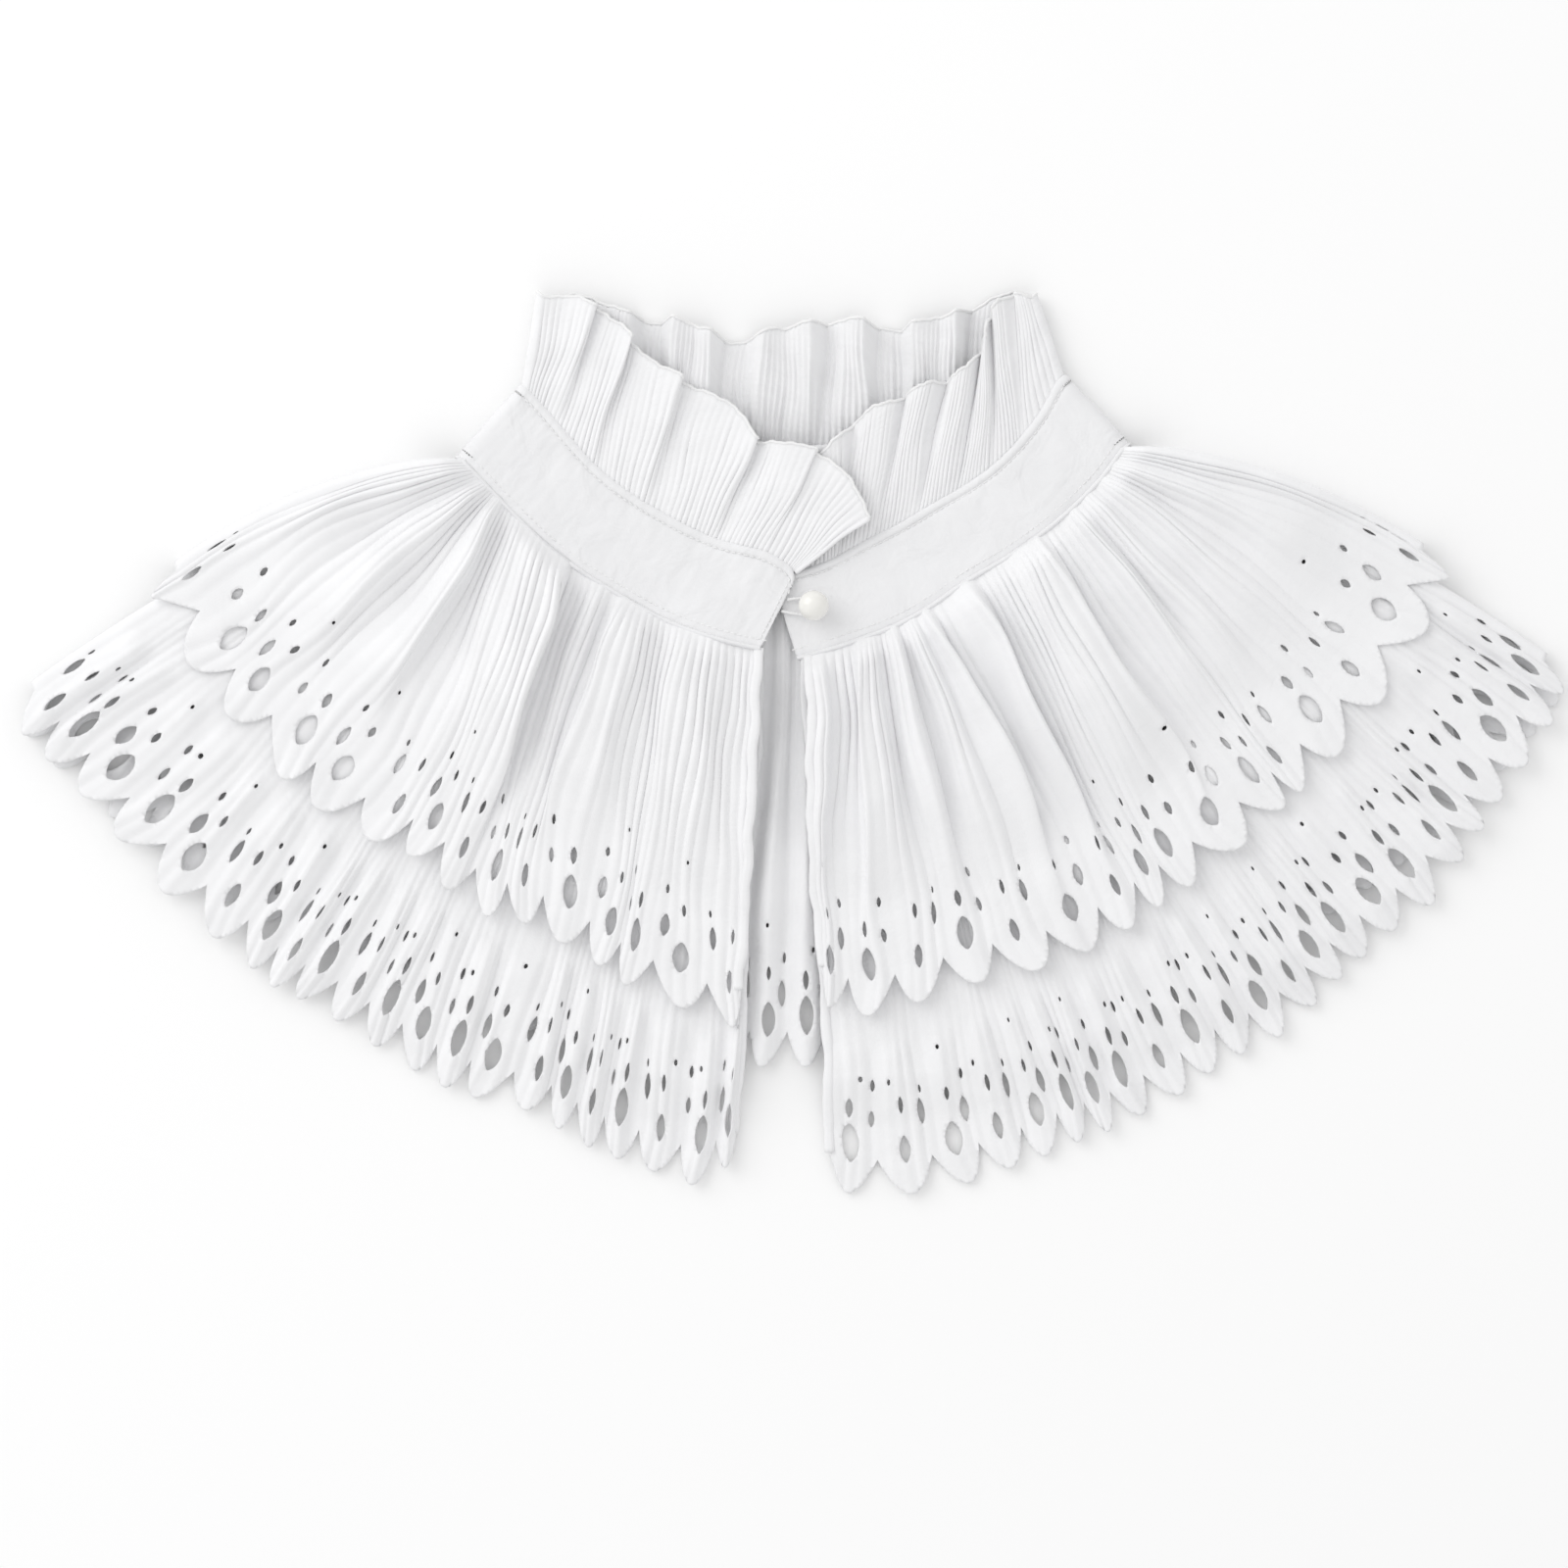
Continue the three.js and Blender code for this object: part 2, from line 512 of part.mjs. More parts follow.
  // The side fold turns a quarter round, to end face to face with the other panel
  const addFold = (pleat, edge, turnedSide) => {
    const line = pleatLine(panel, pleat);
    const alongs = [...rowsOf(line), atDepth(line, SCALLOP_DEPTH)];
    const outside = line.outside.clone().multiplyScalar(turnedSide);
    let previous = edge;
    for (const turn of [45, 90]) {
      const next = alongs.map((along, row) => {
        const place = line.at(along);
        const width = FOLD_WIDTH_AT_SEAM + (FOLD_WIDTH - FOLD_WIDTH_AT_SEAM) * ramp(along / FOLD_STARTS);
        const edgeCorner = corners[edge[row]];
        const middle = (edgeCorner.outer[2] + edgeCorner.inner[2]) / 2;
        const drop = (meetHeight(place.x, place.y) - middle) * ramp(along / FOLD_STARTS);
        const seamStep = row === 0 ? 0.01 : 0;
        const foot = line.at(along + seamStep).addScaledVector(outside, width * Math.sin(turn * DEGREE));
        const z = middle + drop * (1 - Math.cos(turn * DEGREE));
        const depth = Math.max(Math.abs(drop), 0.4);
        const tilt = new THREE.Vector2(Math.sin(turn * DEGREE) / width, Math.cos(turn * DEGREE) / depth);
        tilt.normalize();
        if (Math.abs(drop) < 0.5) tilt.set(0, 1);
        const facing = drop > 0 ? -1 : 1;
        const half = TIER_WALL / 2;
        const shift = outside.clone().multiplyScalar(tilt.x * half * facing);
        corners.push({
          outer: [foot.x + shift.x, foot.y + shift.y, z + tilt.y * half],
          inner: [foot.x - shift.x, foot.y - shift.y, z - tilt.y * half],
        });
        return corners.length - 1;
      });
      if (turnedSide > 0) strip(previous, next, next.length);
      else strip(next, previous, next.length);
      previous = next;
    }
  };
  addFold(panel.pleats, [...valley, notch], 1);
  if (panel.foldsBoth) addFold(0, [...firstValley, firstNotch], -1);
  const turned = panel.side > 0 ? triangles : triangles.map(([a, b, c]) => [a, c, b]);
  return wallGeometry(corners, turned);
}

const BACK_MEET = 4.6;
const FOLD_GAP = 0.3;
const backUpperRows = (line) => [0, 0.12, 0.5, 1 - CELL_DEPTH / line.length];
const upperRows = (line) => [0, 0.12, 0.32, 0.55, 1 - CELL_DEPTH / line.length];
const lowerRows = (line) => [
  0, 0.12, 0.3, alongPastHem(line, DROP_START), alongPastHem(line, DROP_START + DROP_LENGTH),
  1 - CELL_DEPTH / line.length,
];
const frontLowerRows = (line) => [
  0, 0.12, 0.3, alongPastHem(line, DROP_START), alongPastHem(line, DROP_START + DROP_LENGTH),
  1 - 36 / line.length, 1 - CELL_DEPTH / line.length,
];
const lowerMeet = (x, y) => BACK_LOWER_LIFT * overBackUpper(x, y) + 2.2;

const ivory = { color: 0xf7f7f5, roughness: 0.85, metalness: 0 };
function piece(name, geometry, look) {
  const mesh = new THREE.Mesh(geometry, new THREE.MeshStandardMaterial(look));
  mesh.name = name;
  return mesh;
}

const group = new THREE.Group();
group.add(piece(BACK_UPPER.name, tierPanel(BACK_UPPER, {
  layer: layers.backUpper, flatUnder: true, rowsOf: backUpperRows, meetHeight: () => BACK_MEET,
}), ivory));
group.add(piece(BACK_LOWER.name, tierPanel(BACK_LOWER, {
  layer: layers.backLower, rowsOf: lowerRows, meetHeight: lowerMeet, grows: RIPPLE_GROWS_SLOWLY,
}), ivory));
for (const panel of [FRONT_LOWER_LEFT, FRONT_LOWER_RIGHT]) {
  group.add(piece(panel.name, tierPanel(panel, {
    layer: layers.frontLower, rowsOf: frontLowerRows, openRipple: true,
    meetHeight: (x, y) => lowerMeet(x, y) + FOLD_GAP,
  }), ivory));
}
for (const [panel, folds] of [[FRONT_UPPER_LEFT, FOLDS_UPPER_LEFT], [FRONT_UPPER_RIGHT, FOLDS_UPPER_RIGHT]]) {
  group.add(piece(panel.name, tierPanel(panel, {
    layer: layers.frontUpper, folds, rowsOf: upperRows, meetHeight: () => BACK_MEET + FOLD_GAP,
  }), ivory));
}

// A strip that runs round the neck: out from the centre front, down round the side fold, across the back and
// up again. Each section has an upper and a lower end, and a facing that turns over with the fold.
const FOLD_TURNS = [45, 90, 135];
function sideTurn(front, back, turn) {
  const upper = new THREE.Vector3().addVectors(front.upper, back.upper).multiplyScalar(0.5);
  const lower = new THREE.Vector3().addVectors(front.lower, back.lower).multiplyScalar(0.5);
  const corner = bandCurves[upper.x < 0 ? 'left' : 'right'];
  const crease = new THREE.Vector3().subVectors(corner.top.getPoint(1), corner.low.getPoint(1)).normalize();
  const outside = new THREE.Vector3(-crease.y, crease.x, 0).multiplyScalar(upper.x < 0 ? 1 : -1);
  const around = Math.sin(turn * DEGREE);
  const over = Math.cos(turn * DEGREE);
  const swing = (centre, radius) => {
    const out = centre.clone().addScaledVector(outside, radius * around);
    return out.setZ(centre.z + radius * over);
  };
  return {
    upper: swing(upper, (front.upper.z - back.upper.z) / 2),
    lower: swing(lower, (front.lower.z - back.lower.z) / 2),
    facing: outside.clone().multiplyScalar(around).setZ(over),
  };
}

function roundTheNeck(frontLeft, back, frontRight) {
  const leftEnd = frontLeft[frontLeft.length - 1];
  const rightEnd = frontRight[frontRight.length - 1];
  return [
    ...frontLeft,
    ...FOLD_TURNS.map((turn) => sideTurn(leftEnd, back[0], turn)),
    ...back,
    ...FOLD_TURNS.map((turn) => sideTurn(rightEnd, back[back.length - 1], 180 - turn)),
    ...[...frontRight].reverse(),
  ];
}

function stripGeometry(sections, across, wall) {
  const net = grid(sections.length, across.length, (i, j) => {
    const { upper, lower, facing } = sections[i];
    const middle = new THREE.Vector3().lerpVectors(upper, lower, across[j]);
    return {
      outer: middle.clone().addScaledVector(facing, wall / 2).toArray(),
      inner: middle.clone().addScaledVector(facing, -wall / 2).toArray(),
    };
  });
  return wallGeometry(net.corners, net.triangles);
}

const UP = new THREE.Vector3(0, 0, 1);
const DOWN = new THREE.Vector3(0, 0, -1);

function bandSections(part, count, topZ, lowZ, facing, riseAt) {
  const sections = [];
  for (let i = 0; i <= count; i += 1) {
    const t = i / count;
    const rise = riseAt(t);
    sections.push({
      upper: bandCurves[part].top.getPoint(t).setZ(topZ + rise),
      lower: bandCurves[part].low.getPoint(t).setZ(lowZ + rise),
      facing,
    });
  }
  return sections;
}

const level = () => 0;
const lapRise = (t) => LAP_RISE * (1 - ramp((t - LAP_LEVEL) / LAP_FALL));
group.add(piece('neckband', stripGeometry(roundTheNeck(
  bandSections('left', BAND_STEPS, FRONT_BAND_TOP_Z, FRONT_BAND_LOW_Z, UP, lapRise),
  bandSections('back', BAND_STEPS, BACK_BAND_Z, BACK_BAND_Z, DOWN, level),
  bandSections('right', BAND_STEPS, FRONT_BAND_TOP_Z, FRONT_BAND_LOW_Z, UP, level),
), [0, 0.5, 1], BAND_WALL), { color: 0xf9f9f8, roughness: 0.6, metalness: 0 }));

// The ruffle's folds: a crest on each row of its table and a trough between two rows
function ruffleSections(part, rows, waves, footZ, low, high, facing, riseAt) {
  const lip = curveThrough(rows, 'lipX', 'lipY');
  const places = rows.map((row, index) => ({ index, foot: row.foot }));
  const sections = [];
  for (let i = 0; i <= 2 * waves; i += 1) {
    const t = i / (2 * waves);
    const foot = readTable(places, 'index', 'foot', t * (rows.length - 1));
    const lap = riseAt(foot) / LAP_RISE;
    const crest = i % 2 === 0;
    const lapped = crest ? RUFFLE_LAP_HIGH : RUFFLE_LAP_LOW;
    const open = crest ? high : low;
    const upper = lip.getPoint(t);
    const lower = bandCurves[part].top.getPoint(foot);
    const below = bandCurves[part].low.getPoint(foot);
    lower.addScaledVector(new THREE.Vector3().subVectors(lower, below).normalize(), RUFFLE_GAP);
    lower.setZ(footZ + LAP_RISE * lap);
    upper.setZ(open + (lapped - open) * lap);
    sections.push({ upper, lower, facing });
  }
  return sections;
}

const frontWaves = RUFFLE_FRONT_LEFT.length - 1;
const ruffleFrontLeft = ruffleSections(
  'left', RUFFLE_FRONT_LEFT, frontWaves, FRONT_BAND_TOP_Z, RUFFLE_LOW, RUFFLE_HIGH, UP, lapRise,
);
const ruffleBack = ruffleSections(
  'back', RUFFLE_BACK, RUFFLE_BACK_WAVES, BACK_BAND_Z, RUFFLE_BACK_LOW, RUFFLE_BACK_HIGH, DOWN, level,
);
const ruffleFrontRight = ruffleSections(
  'right', RUFFLE_FRONT_RIGHT, frontWaves, FRONT_BAND_TOP_Z, RUFFLE_LOW, RUFFLE_HIGH, UP, level,
);
const ruffleSteps = [0, 0.33, 0.66, 1];
const ruffleStrip = roundTheNeck(ruffleFrontLeft, ruffleBack, ruffleFrontRight);
group.add(piece('neck_ruffle', stripGeometry(ruffleStrip, ruffleSteps, RUFFLE_WALL), ivory));

// The pearl stands on its shank on the right end of the band
const pearlSeat = (FRONT_BAND_TOP_Z + FRONT_BAND_LOW_Z + BAND_WALL) / 2 + SEAM_GAP;
const pearlMiddle = SHANK_LENGTH + Math.sqrt(PEARL_RADIUS ** 2 - SHANK_RADIUS ** 2);
const pearlProfile = [new THREE.Vector2(0, 0), new THREE.Vector2(SHANK_RADIUS, 0)];
const shankAngle = Math.asin(SHANK_RADIUS / PEARL_RADIUS);
for (let i = 0; i <= PEARL_RINGS; i += 1) {
  const angle = shankAngle + ((Math.PI - shankAngle) * i) / PEARL_RINGS;
  const radius = i === PEARL_RINGS ? 0 : PEARL_RADIUS * Math.sin(angle);
  pearlProfile.push(new THREE.Vector2(radius, pearlMiddle - PEARL_RADIUS * Math.cos(angle)));
}
const pearl = piece('pearl_button', new THREE.LatheGeometry(pearlProfile, PEARL_SIDES), {
  color: 0xf4f2ee, roughness: 0.2, metalness: 0,
});
pearl.rotation.x = Math.PI / 2;
pearl.position.set(PEARL_CENTRE.x, PEARL_CENTRE.y, pearlSeat);
group.add(pearl);

// The loop leaves the left end of the band, passes round the shank and comes back
const LOOP_LINE = [
  { x: -8.6, y: 2.2 },
  { x: -4.5, y: LOOP_BEND },
  { x: 0, y: LOOP_BEND },
  { x: LOOP_BEND, y: 0 },
  { x: 0, y: -LOOP_BEND },
  { x: -5, y: -LOOP_BEND },
  { x: -10.6, y: -1.6 },
];
const loopPath = new THREE.CatmullRomCurve3(
  LOOP_LINE.map(({ x, y }) => new THREE.Vector3(PEARL_CENTRE.x + x, PEARL_CENTRE.y + y, LOOP_Z)),
);
const loopRound = new THREE.Shape(Array.from({ length: LOOP_SIDES }, (_, i) => {
  const angle = (2 * Math.PI * i) / LOOP_SIDES;
  return new THREE.Vector2(LOOP_RADIUS * Math.cos(angle), LOOP_RADIUS * Math.sin(angle));
}));
const loopOptions = { steps: LOOP_STEPS, bevelEnabled: false, extrudePath: loopPath };
group.add(piece('button_loop', new THREE.ExtrudeGeometry(loopRound, loopOptions), ivory));

// The origin is the middle of the object's footprint on the table
const footprint = new THREE.Box3().setFromObject(group, true).getCenter(new THREE.Vector3());
for (const mesh of group.children) {
  mesh.position.x -= footprint.x;
  mesh.position.y -= footprint.y;
}

export default group;
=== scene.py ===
import math

import bpy
import numpy as np
from mathutils.geometry import delaunay_2d_cdt
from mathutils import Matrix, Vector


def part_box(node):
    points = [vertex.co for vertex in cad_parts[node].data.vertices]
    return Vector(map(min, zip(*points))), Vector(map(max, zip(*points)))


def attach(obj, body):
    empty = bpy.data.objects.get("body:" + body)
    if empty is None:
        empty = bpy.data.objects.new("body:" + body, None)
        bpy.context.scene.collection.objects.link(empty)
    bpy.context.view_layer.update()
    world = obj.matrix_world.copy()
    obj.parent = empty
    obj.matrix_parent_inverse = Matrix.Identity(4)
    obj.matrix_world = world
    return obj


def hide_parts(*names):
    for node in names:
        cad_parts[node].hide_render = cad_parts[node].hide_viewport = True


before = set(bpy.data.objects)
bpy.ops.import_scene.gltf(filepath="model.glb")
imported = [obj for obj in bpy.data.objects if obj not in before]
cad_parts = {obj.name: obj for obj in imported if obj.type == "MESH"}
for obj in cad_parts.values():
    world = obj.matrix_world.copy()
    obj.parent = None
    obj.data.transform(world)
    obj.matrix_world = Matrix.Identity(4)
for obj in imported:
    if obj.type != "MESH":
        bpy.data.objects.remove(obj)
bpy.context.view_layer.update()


# The room: a white table top, one broad light from the upper left and an even white surround.
# The camera looks straight down, as the photograph does, and the capelet's centre sits a little high.
VIEW_WIDTH = 0.516
VIEW_CENTRE = (-0.0025, -0.0142)
LENS = 100
SENSOR = 36
TABLE_SIZE = 8.0
TABLE_Z = -0.0002
ROOM_LIGHT = 0.88
CAMERA_LIFT = 0.008


def set_inputs(node, values):
    for name, value in values.items():
        node.inputs[name].default_value = value


def new_finish(name, values):
    """A material whose shader has these values."""
    finish = bpy.data.materials.new(name)
    finish.use_nodes = True
    set_inputs(finish.node_tree.nodes["Principled BSDF"], values)
    return finish


bpy.ops.object.select_all(action="DESELECT")
bpy.ops.mesh.primitive_plane_add(size=TABLE_SIZE, location=(0, 0, TABLE_Z))
table_top = bpy.context.object
table_top.name = "table_top"
table_top.data.materials.append(new_finish("white_table", {
    "Base Color": (0.95, 0.95, 0.95, 1), "Roughness": 0.9, "Specular IOR Level": 0.1,
}))

world = bpy.context.scene.world or bpy.data.worlds.new("room")
bpy.context.scene.world = world
world.use_nodes = True
set_inputs(world.node_tree.nodes["Background"], {"Color": (1, 1, 1, 1), "Strength": ROOM_LIGHT})


def soft_light(name, place, size, power):
    light = bpy.data.lights.new(name, "AREA")
    light.shape = "SQUARE"
    light.size = size
    light.energy = power
    lamp = bpy.data.objects.new(name, light)
    bpy.context.scene.collection.objects.link(lamp)
    lamp.location = place
    reach = math.hypot(place[0], place[1])
    lamp.rotation_euler = (0, math.atan2(reach, place[2]), math.atan2(place[1], place[0]))


soft_light("window_light", place=(-1.5, 1.1, 1.3), size=1.8, power=17)
bpy.context.scene.view_settings.view_transform = "Standard"

camera = bpy.data.objects.new("camera", bpy.data.cameras.new("camera"))
bpy.context.scene.collection.objects.link(camera)
camera.data.lens = LENS
camera.data.sensor_width = SENSOR
camera.location = (*VIEW_CENTRE, VIEW_WIDTH * LENS / SENSOR + CAMERA_LIFT)
bpy.context.scene.camera = camera


# Neckband: a straight strip of smooth cotton folded double to 31 mm, pressed, and turned in at both ends.
# Lines of stitches hold its long edges and its front end, and a corded seam joins the tiers to it below.
# It lies front on back, folded at both sides of the neck, and its left end laps over the right one.
def table(columns, rows):
    """Rows of numbers as one array for each named column."""
    return {name: np.array(values, float) for name, values in zip(columns.split(), zip(*rows))}


def read(rows, key, column, at):
    """A column of a table at any place between its rows, without overshooting a row."""
    x, y = rows[key], rows[column]
    at = np.clip(at, x[0], x[-1])
    i = np.clip(np.searchsorted(x, at, side="right") - 1, 0, len(x) - 2)
    slope = np.diff(y) / np.diff(x)
    before, after = slope[:-1], slope[1:]
    both = np.where(before + after == 0, 1, before + after)
    bend = np.where(before * after > 0, 2 * before * after / both, 0)
    tangent = np.concatenate([slope[:1], bend, slope[-1:]])
    h = x[i + 1] - x[i]
    t = (at - x[i]) / h
    rise = y[i + 1] - y[i]
    a, b = tangent[i] * h, tangent[i + 1] * h
    return y[i] + t * a + t * t * (3 * rise - 2 * a - b) + t * t * t * (a + b - 2 * rise)


def smooth_line(points, at):
    """Places on a smooth line through points, for at from 0 to 1 by row."""
    points = np.asarray(points, float)
    ends = np.vstack([2 * points[0] - points[1], points, 2 * points[-1] - points[-2]])
    steps = np.sqrt(np.linalg.norm(np.diff(ends, axis=0), axis=1))
    p = np.clip(at, 0, 1) * (len(points) - 1)
    i = np.clip(p.astype(int), 0, len(points) - 2)
    w = (p - i)[:, None]
    p0, p1, p2, p3 = ends[i], ends[i + 1], ends[i + 2], ends[i + 3]
    d0, d1, d2 = steps[i][:, None], steps[i + 1][:, None], steps[i + 2][:, None]
    t1 = ((p1 - p0) / d0 - (p2 - p0) / (d0 + d1) + (p2 - p1) / d1) * d1
    t2 = ((p2 - p1) / d1 - (p3 - p1) / (d1 + d2) + (p3 - p2) / d2) * d1
    return p1 + w * t1 + w**2 * (-3 * p1 + 3 * p2 - 2 * t1 - t2) + w**3 * (2 * p1 - 2 * p2 + t1 + t2)


def length_along(path):
    """How far along its path each point is."""
    return np.concatenate([[0], np.cumsum(np.linalg.norm(np.diff(path, axis=0), axis=1))])


def unit(rows):
    """Each row's direction, one long."""
    return rows / np.linalg.norm(rows, axis=1, keepdims=True)


def wander(a, b, seed):
    """A slow uneven wave between -1 and 1, the same each time."""
    s = seed * 1.731
    return (
        np.sin(1.13 * a + 0.71 * b + s)
        + np.sin(2.17 * a - 1.37 * b + 2.3 * s)
        + 0.6 * np.sin(4.1 * a + 2.9 * b + 3.7 * s)
    ) / 2.6


BAND_LEFT = table("topX topY lowX lowY", [
    (0.0037, 0.0556, -0.0089, 0.0305),
    (-0.0056, 0.0619, -0.0205, 0.0331),
    (-0.0234, 0.0669, -0.0385, 0.0392),
    (-0.0453, 0.0779, -0.0592, 0.0505),
    (-0.0611, 0.0892, -0.0776, 0.0631),
    (-0.0727, 0.1018, -0.0915, 0.0763),
    (-0.0805, 0.1109, -0.1004, 0.0856),
    (-0.0852, 0.1159, -0.1058, 0.0912),
])
BAND_BACK = table("topX topY lowX lowY", [
    (-0.0852, 0.1159, -0.1058, 0.0912),
    (-0.0700, 0.1115, -0.0820, 0.0825),
    (-0.0360, 0.1013, -0.0410, 0.0706),
    (0.0000, 0.0978, 0.0000, 0.0670),
    (0.0370, 0.1015, 0.0430, 0.0710),
    (0.0730, 0.1130, 0.0860, 0.0850),
    (0.0889, 0.1193, 0.1096, 0.0953),
])
BAND_RIGHT = table("topX topY lowX lowY", [
    (-0.0053, 0.0544, 0.0031, 0.0273),
    (0.0118, 0.0592, 0.0192, 0.0321),
    (0.0266, 0.0669, 0.0363, 0.0385),
    (0.0369, 0.0721, 0.0473, 0.0447),
    (0.0489, 0.0792, 0.0595, 0.0531),
    (0.0595, 0.0853, 0.0731, 0.0611),
    (0.0705, 0.0938, 0.0884, 0.0723),
    (0.0820, 0.1072, 0.1021, 0.0854),
    (0.0889, 0.1193, 0.1096, 0.0953),
])
BANDS = {"left": BAND_LEFT, "back": BAND_BACK, "right": BAND_RIGHT}
BAND_STEPS = {"left": 190, "back": 130, "right": 150}
BACK_BAND_Z = 0.0019
FRONT_BAND_TOP_Z = 0.0066
FRONT_BAND_LOW_Z = 0.0086
LAP_RISE = 0.0025
LAP_LEVEL = 0.15
LAP_FALL = 0.16
BAND_THICKNESS = 0.0019
PUCKER, DENT = 0.00012, 0.0005
PEARL_MEASURED = (0.0085, 0.0444)
TURN_STEPS = 12

# The tables are measured from the middle of the photograph's neck. The pearl shows how far off the frame is.
pearl_low, pearl_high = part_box("pearl_button")
OFFSET = np.array([
    (pearl_low.x + pearl_high.x) / 2 - PEARL_MEASURED[0],
    (pearl_low.y + pearl_high.y) / 2 - PEARL_MEASURED[1],
])


def band_edge(part, edge, at):
    """Places on the top or low edge of a part of the band, for at from 0 to 1."""
    rows = BANDS[part]
    points = np.stack([rows[edge + "X"], rows[edge + "Y"]], 1)
    return smooth_line(points, np.atleast_1d(np.asarray(at, float)))


def lap(at):
    """How far the left end rises to lap over the right one."""
    return LAP_RISE * (1 - np.clip((at - LAP_LEVEL) / LAP_FALL, 0, 1))


def with_height(places, z):
    return np.column_stack([places, np.broadcast_to(z, len(places))])


def side_turn(part, front, back):
    """The half turn between a front strip and the back one, at the side fold of the neck."""
    crease = (band_edge(part, "top", 1) - band_edge(part, "low", 1))[0]
    crease /= np.linalg.norm(crease)
    outside = np.array([-crease[1], crease[0], 0]) * (1 if part == "left" else -1)
    turned = []
    for turn in np.linspace(0, math.pi, TURN_STEPS + 2)[1:-1]:
        ends = []
        for a, b in ((front[0], back[0]), (front[1], back[1])):
            radius = (a[2] - b[2]) / 2
            out = outside * radius * math.sin(turn)
            ends.append((a + b) / 2 + out + np.array([0, 0, radius * math.cos(turn)]))
        turned.append((ends[0], ends[1], outside * math.sin(turn) + np.array([0, 0, math.cos(turn)])))
    return [np.array(column) for column in zip(*turned)]


def round_the_neck(front_left, back, front_right):
    """Joins three strips of (upper, lower, facing) by their side turns, from the left end to the right."""
    left = side_turn("left", (front_left[0][-1], front_left[1][-1]), (back[0][0], back[1][0]))
    right = side_turn("right", (front_right[0][-1], front_right[1][-1]), (back[0][-1], back[1][-1]))
    order = zip(front_left, left, back, right, front_right)
    return [np.concatenate([a, b, c, d[::-1], e[::-1]]) for a, b, c, d, e in order]


def band_strip(part, top_z, low_z, facing):
    """One part of the band as (upper, lower, facing) along its length."""
    at = np.linspace(0, 1, BAND_STEPS[part])
    rise = lap(at) if part == "left" else 0 * at
    upper = with_height(band_edge(part, "top", at), top_z + rise)
    lower = with_height(band_edge(part, "low", at), low_z + rise)
    return upper, lower, np.tile([0, 0, facing], (len(at), 1))


def new_piece(name, verts, faces, uv=None):
    mesh = bpy.data.meshes.new(name)
    verts = np.array(verts, float)
    verts[:, :2] += OFFSET
    mesh.from_pydata(verts.tolist(), [], [list(map(int, face)) for face in faces])
    if uv is not None:
        corner = np.zeros(len(mesh.loops), np.int32)
        mesh.loops.foreach_get("vertex_index", corner)
        mesh.uv_layers.new(name="cloth").data.foreach_set("uv", np.asarray(uv, np.float32)[corner].ravel())
    mesh.validate()
    piece = bpy.data.objects.new(name, mesh)
    bpy.context.scene.collection.objects.link(piece)
    mesh.shade_smooth()
    return piece


def grid_faces(columns, rows, closed=False):
    """Faces of a net whose corners run down each column in turn. closed joins a column's end to its start."""
    i, j = np.meshgrid(np.arange(columns - 1), np.arange(rows if closed else rows - 1), indexing="ij")
    here = (i * rows + j).ravel()
    below = (i * rows + (j + 1) % rows).ravel()
    return np.stack([here, below, below + rows, here + rows], 1)


def cotton(name, colour, roughness, thread, relief, sheen, crease, crease_depth):
    """Woven cotton: crossing threads, small creases and a faint unevenness, on the cloth's own UV map."""
    finish = new_finish(name, {
        "Roughness": roughness, "Sheen Weight": sheen, "Sheen Roughness": 0.5, "Specular IOR Level": 0.2,
    })
    nodes, links = finish.node_tree.nodes, finish.node_tree.links
    shader = nodes["Principled BSDF"]
    place = nodes.new("ShaderNodeUVMap")
    place.uv_map = "cloth"

    def pattern(kind, values):
        node = nodes.new(kind)
        set_inputs(node, values)
        links.new(place.outputs["UV"], node.inputs["Vector"])
        return node

    def bumps(height, strength, distance):
        node = nodes.new("ShaderNodeBump")
        set_inputs(node, {"Strength": strength, "Distance": distance})
        links.new(height, node.inputs["Height"])
        return node

    weave = nodes.new("ShaderNodeMath")
    weave.operation = "MAXIMUM"
    for i, direction in enumerate(("X", "Y")):
        threads = pattern("ShaderNodeTexWave", {"Scale": 0.314 / thread, "Distortion": 1.2, "Detail": 1})
        threads.bands_direction = direction
        links.new(threads.outputs["Fac"], weave.inputs[i])
    crumple = pattern("ShaderNodeTexNoise", {"Scale": 1 / crease, "Detail": 3, "Distortion": 0.6})
    creases = bumps(crumple.outputs["Fac"], 0.7, crease_depth)
    cloth = bumps(weave.outputs[0], relief, thread * 0.3)
    links.new(creases.outputs["Normal"], cloth.inputs["Normal"])
    links.new(cloth.outputs["Normal"], shader.inputs["Normal"])
    slub = pattern("ShaderNodeTexNoise", {"Scale": 60, "Detail": 4})
    tint = nodes.new("ShaderNodeValToRGB")
    tint.color_ramp.elements[0].position = 0.3
    tint.color_ramp.elements[0].color = (*[c * 0.955 for c in colour], 1)
    tint.color_ramp.elements[1].position = 0.7
    tint.color_ramp.elements[1].color = (*colour, 1)
    links.new(slub.outputs["Fac"], tint.inputs["Fac"])
    links.new(tint.outputs["Color"], shader.inputs["Base Color"])
    return finish


def finish_piece(piece, finish, replaces=()):
    piece.data.materials.append(finish)
    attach(piece, "root")
    if replaces:
        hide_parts(*replaces)
    return piece


smooth_cotton = cotton(
    "smooth_band_cotton", (0.84, 0.84, 0.85), roughness=0.7, thread=0.00035, relief=0.25, sheen=0.1,
    crease=0.012, crease_depth=0.0019,
)


def rounded_end(strip, radius):
    """Rounds the top corner of a strip's first end."""
    upper, lower, facing = strip
    from_end = np.linalg.norm(upper - upper[0], axis=1)
    inside_corner = np.clip(radius - from_end, 0, radius)
    recede = radius - np.sqrt(radius**2 - inside_corner**2)
    return upper + unit(lower - upper) * recede[:, None], lower, facing


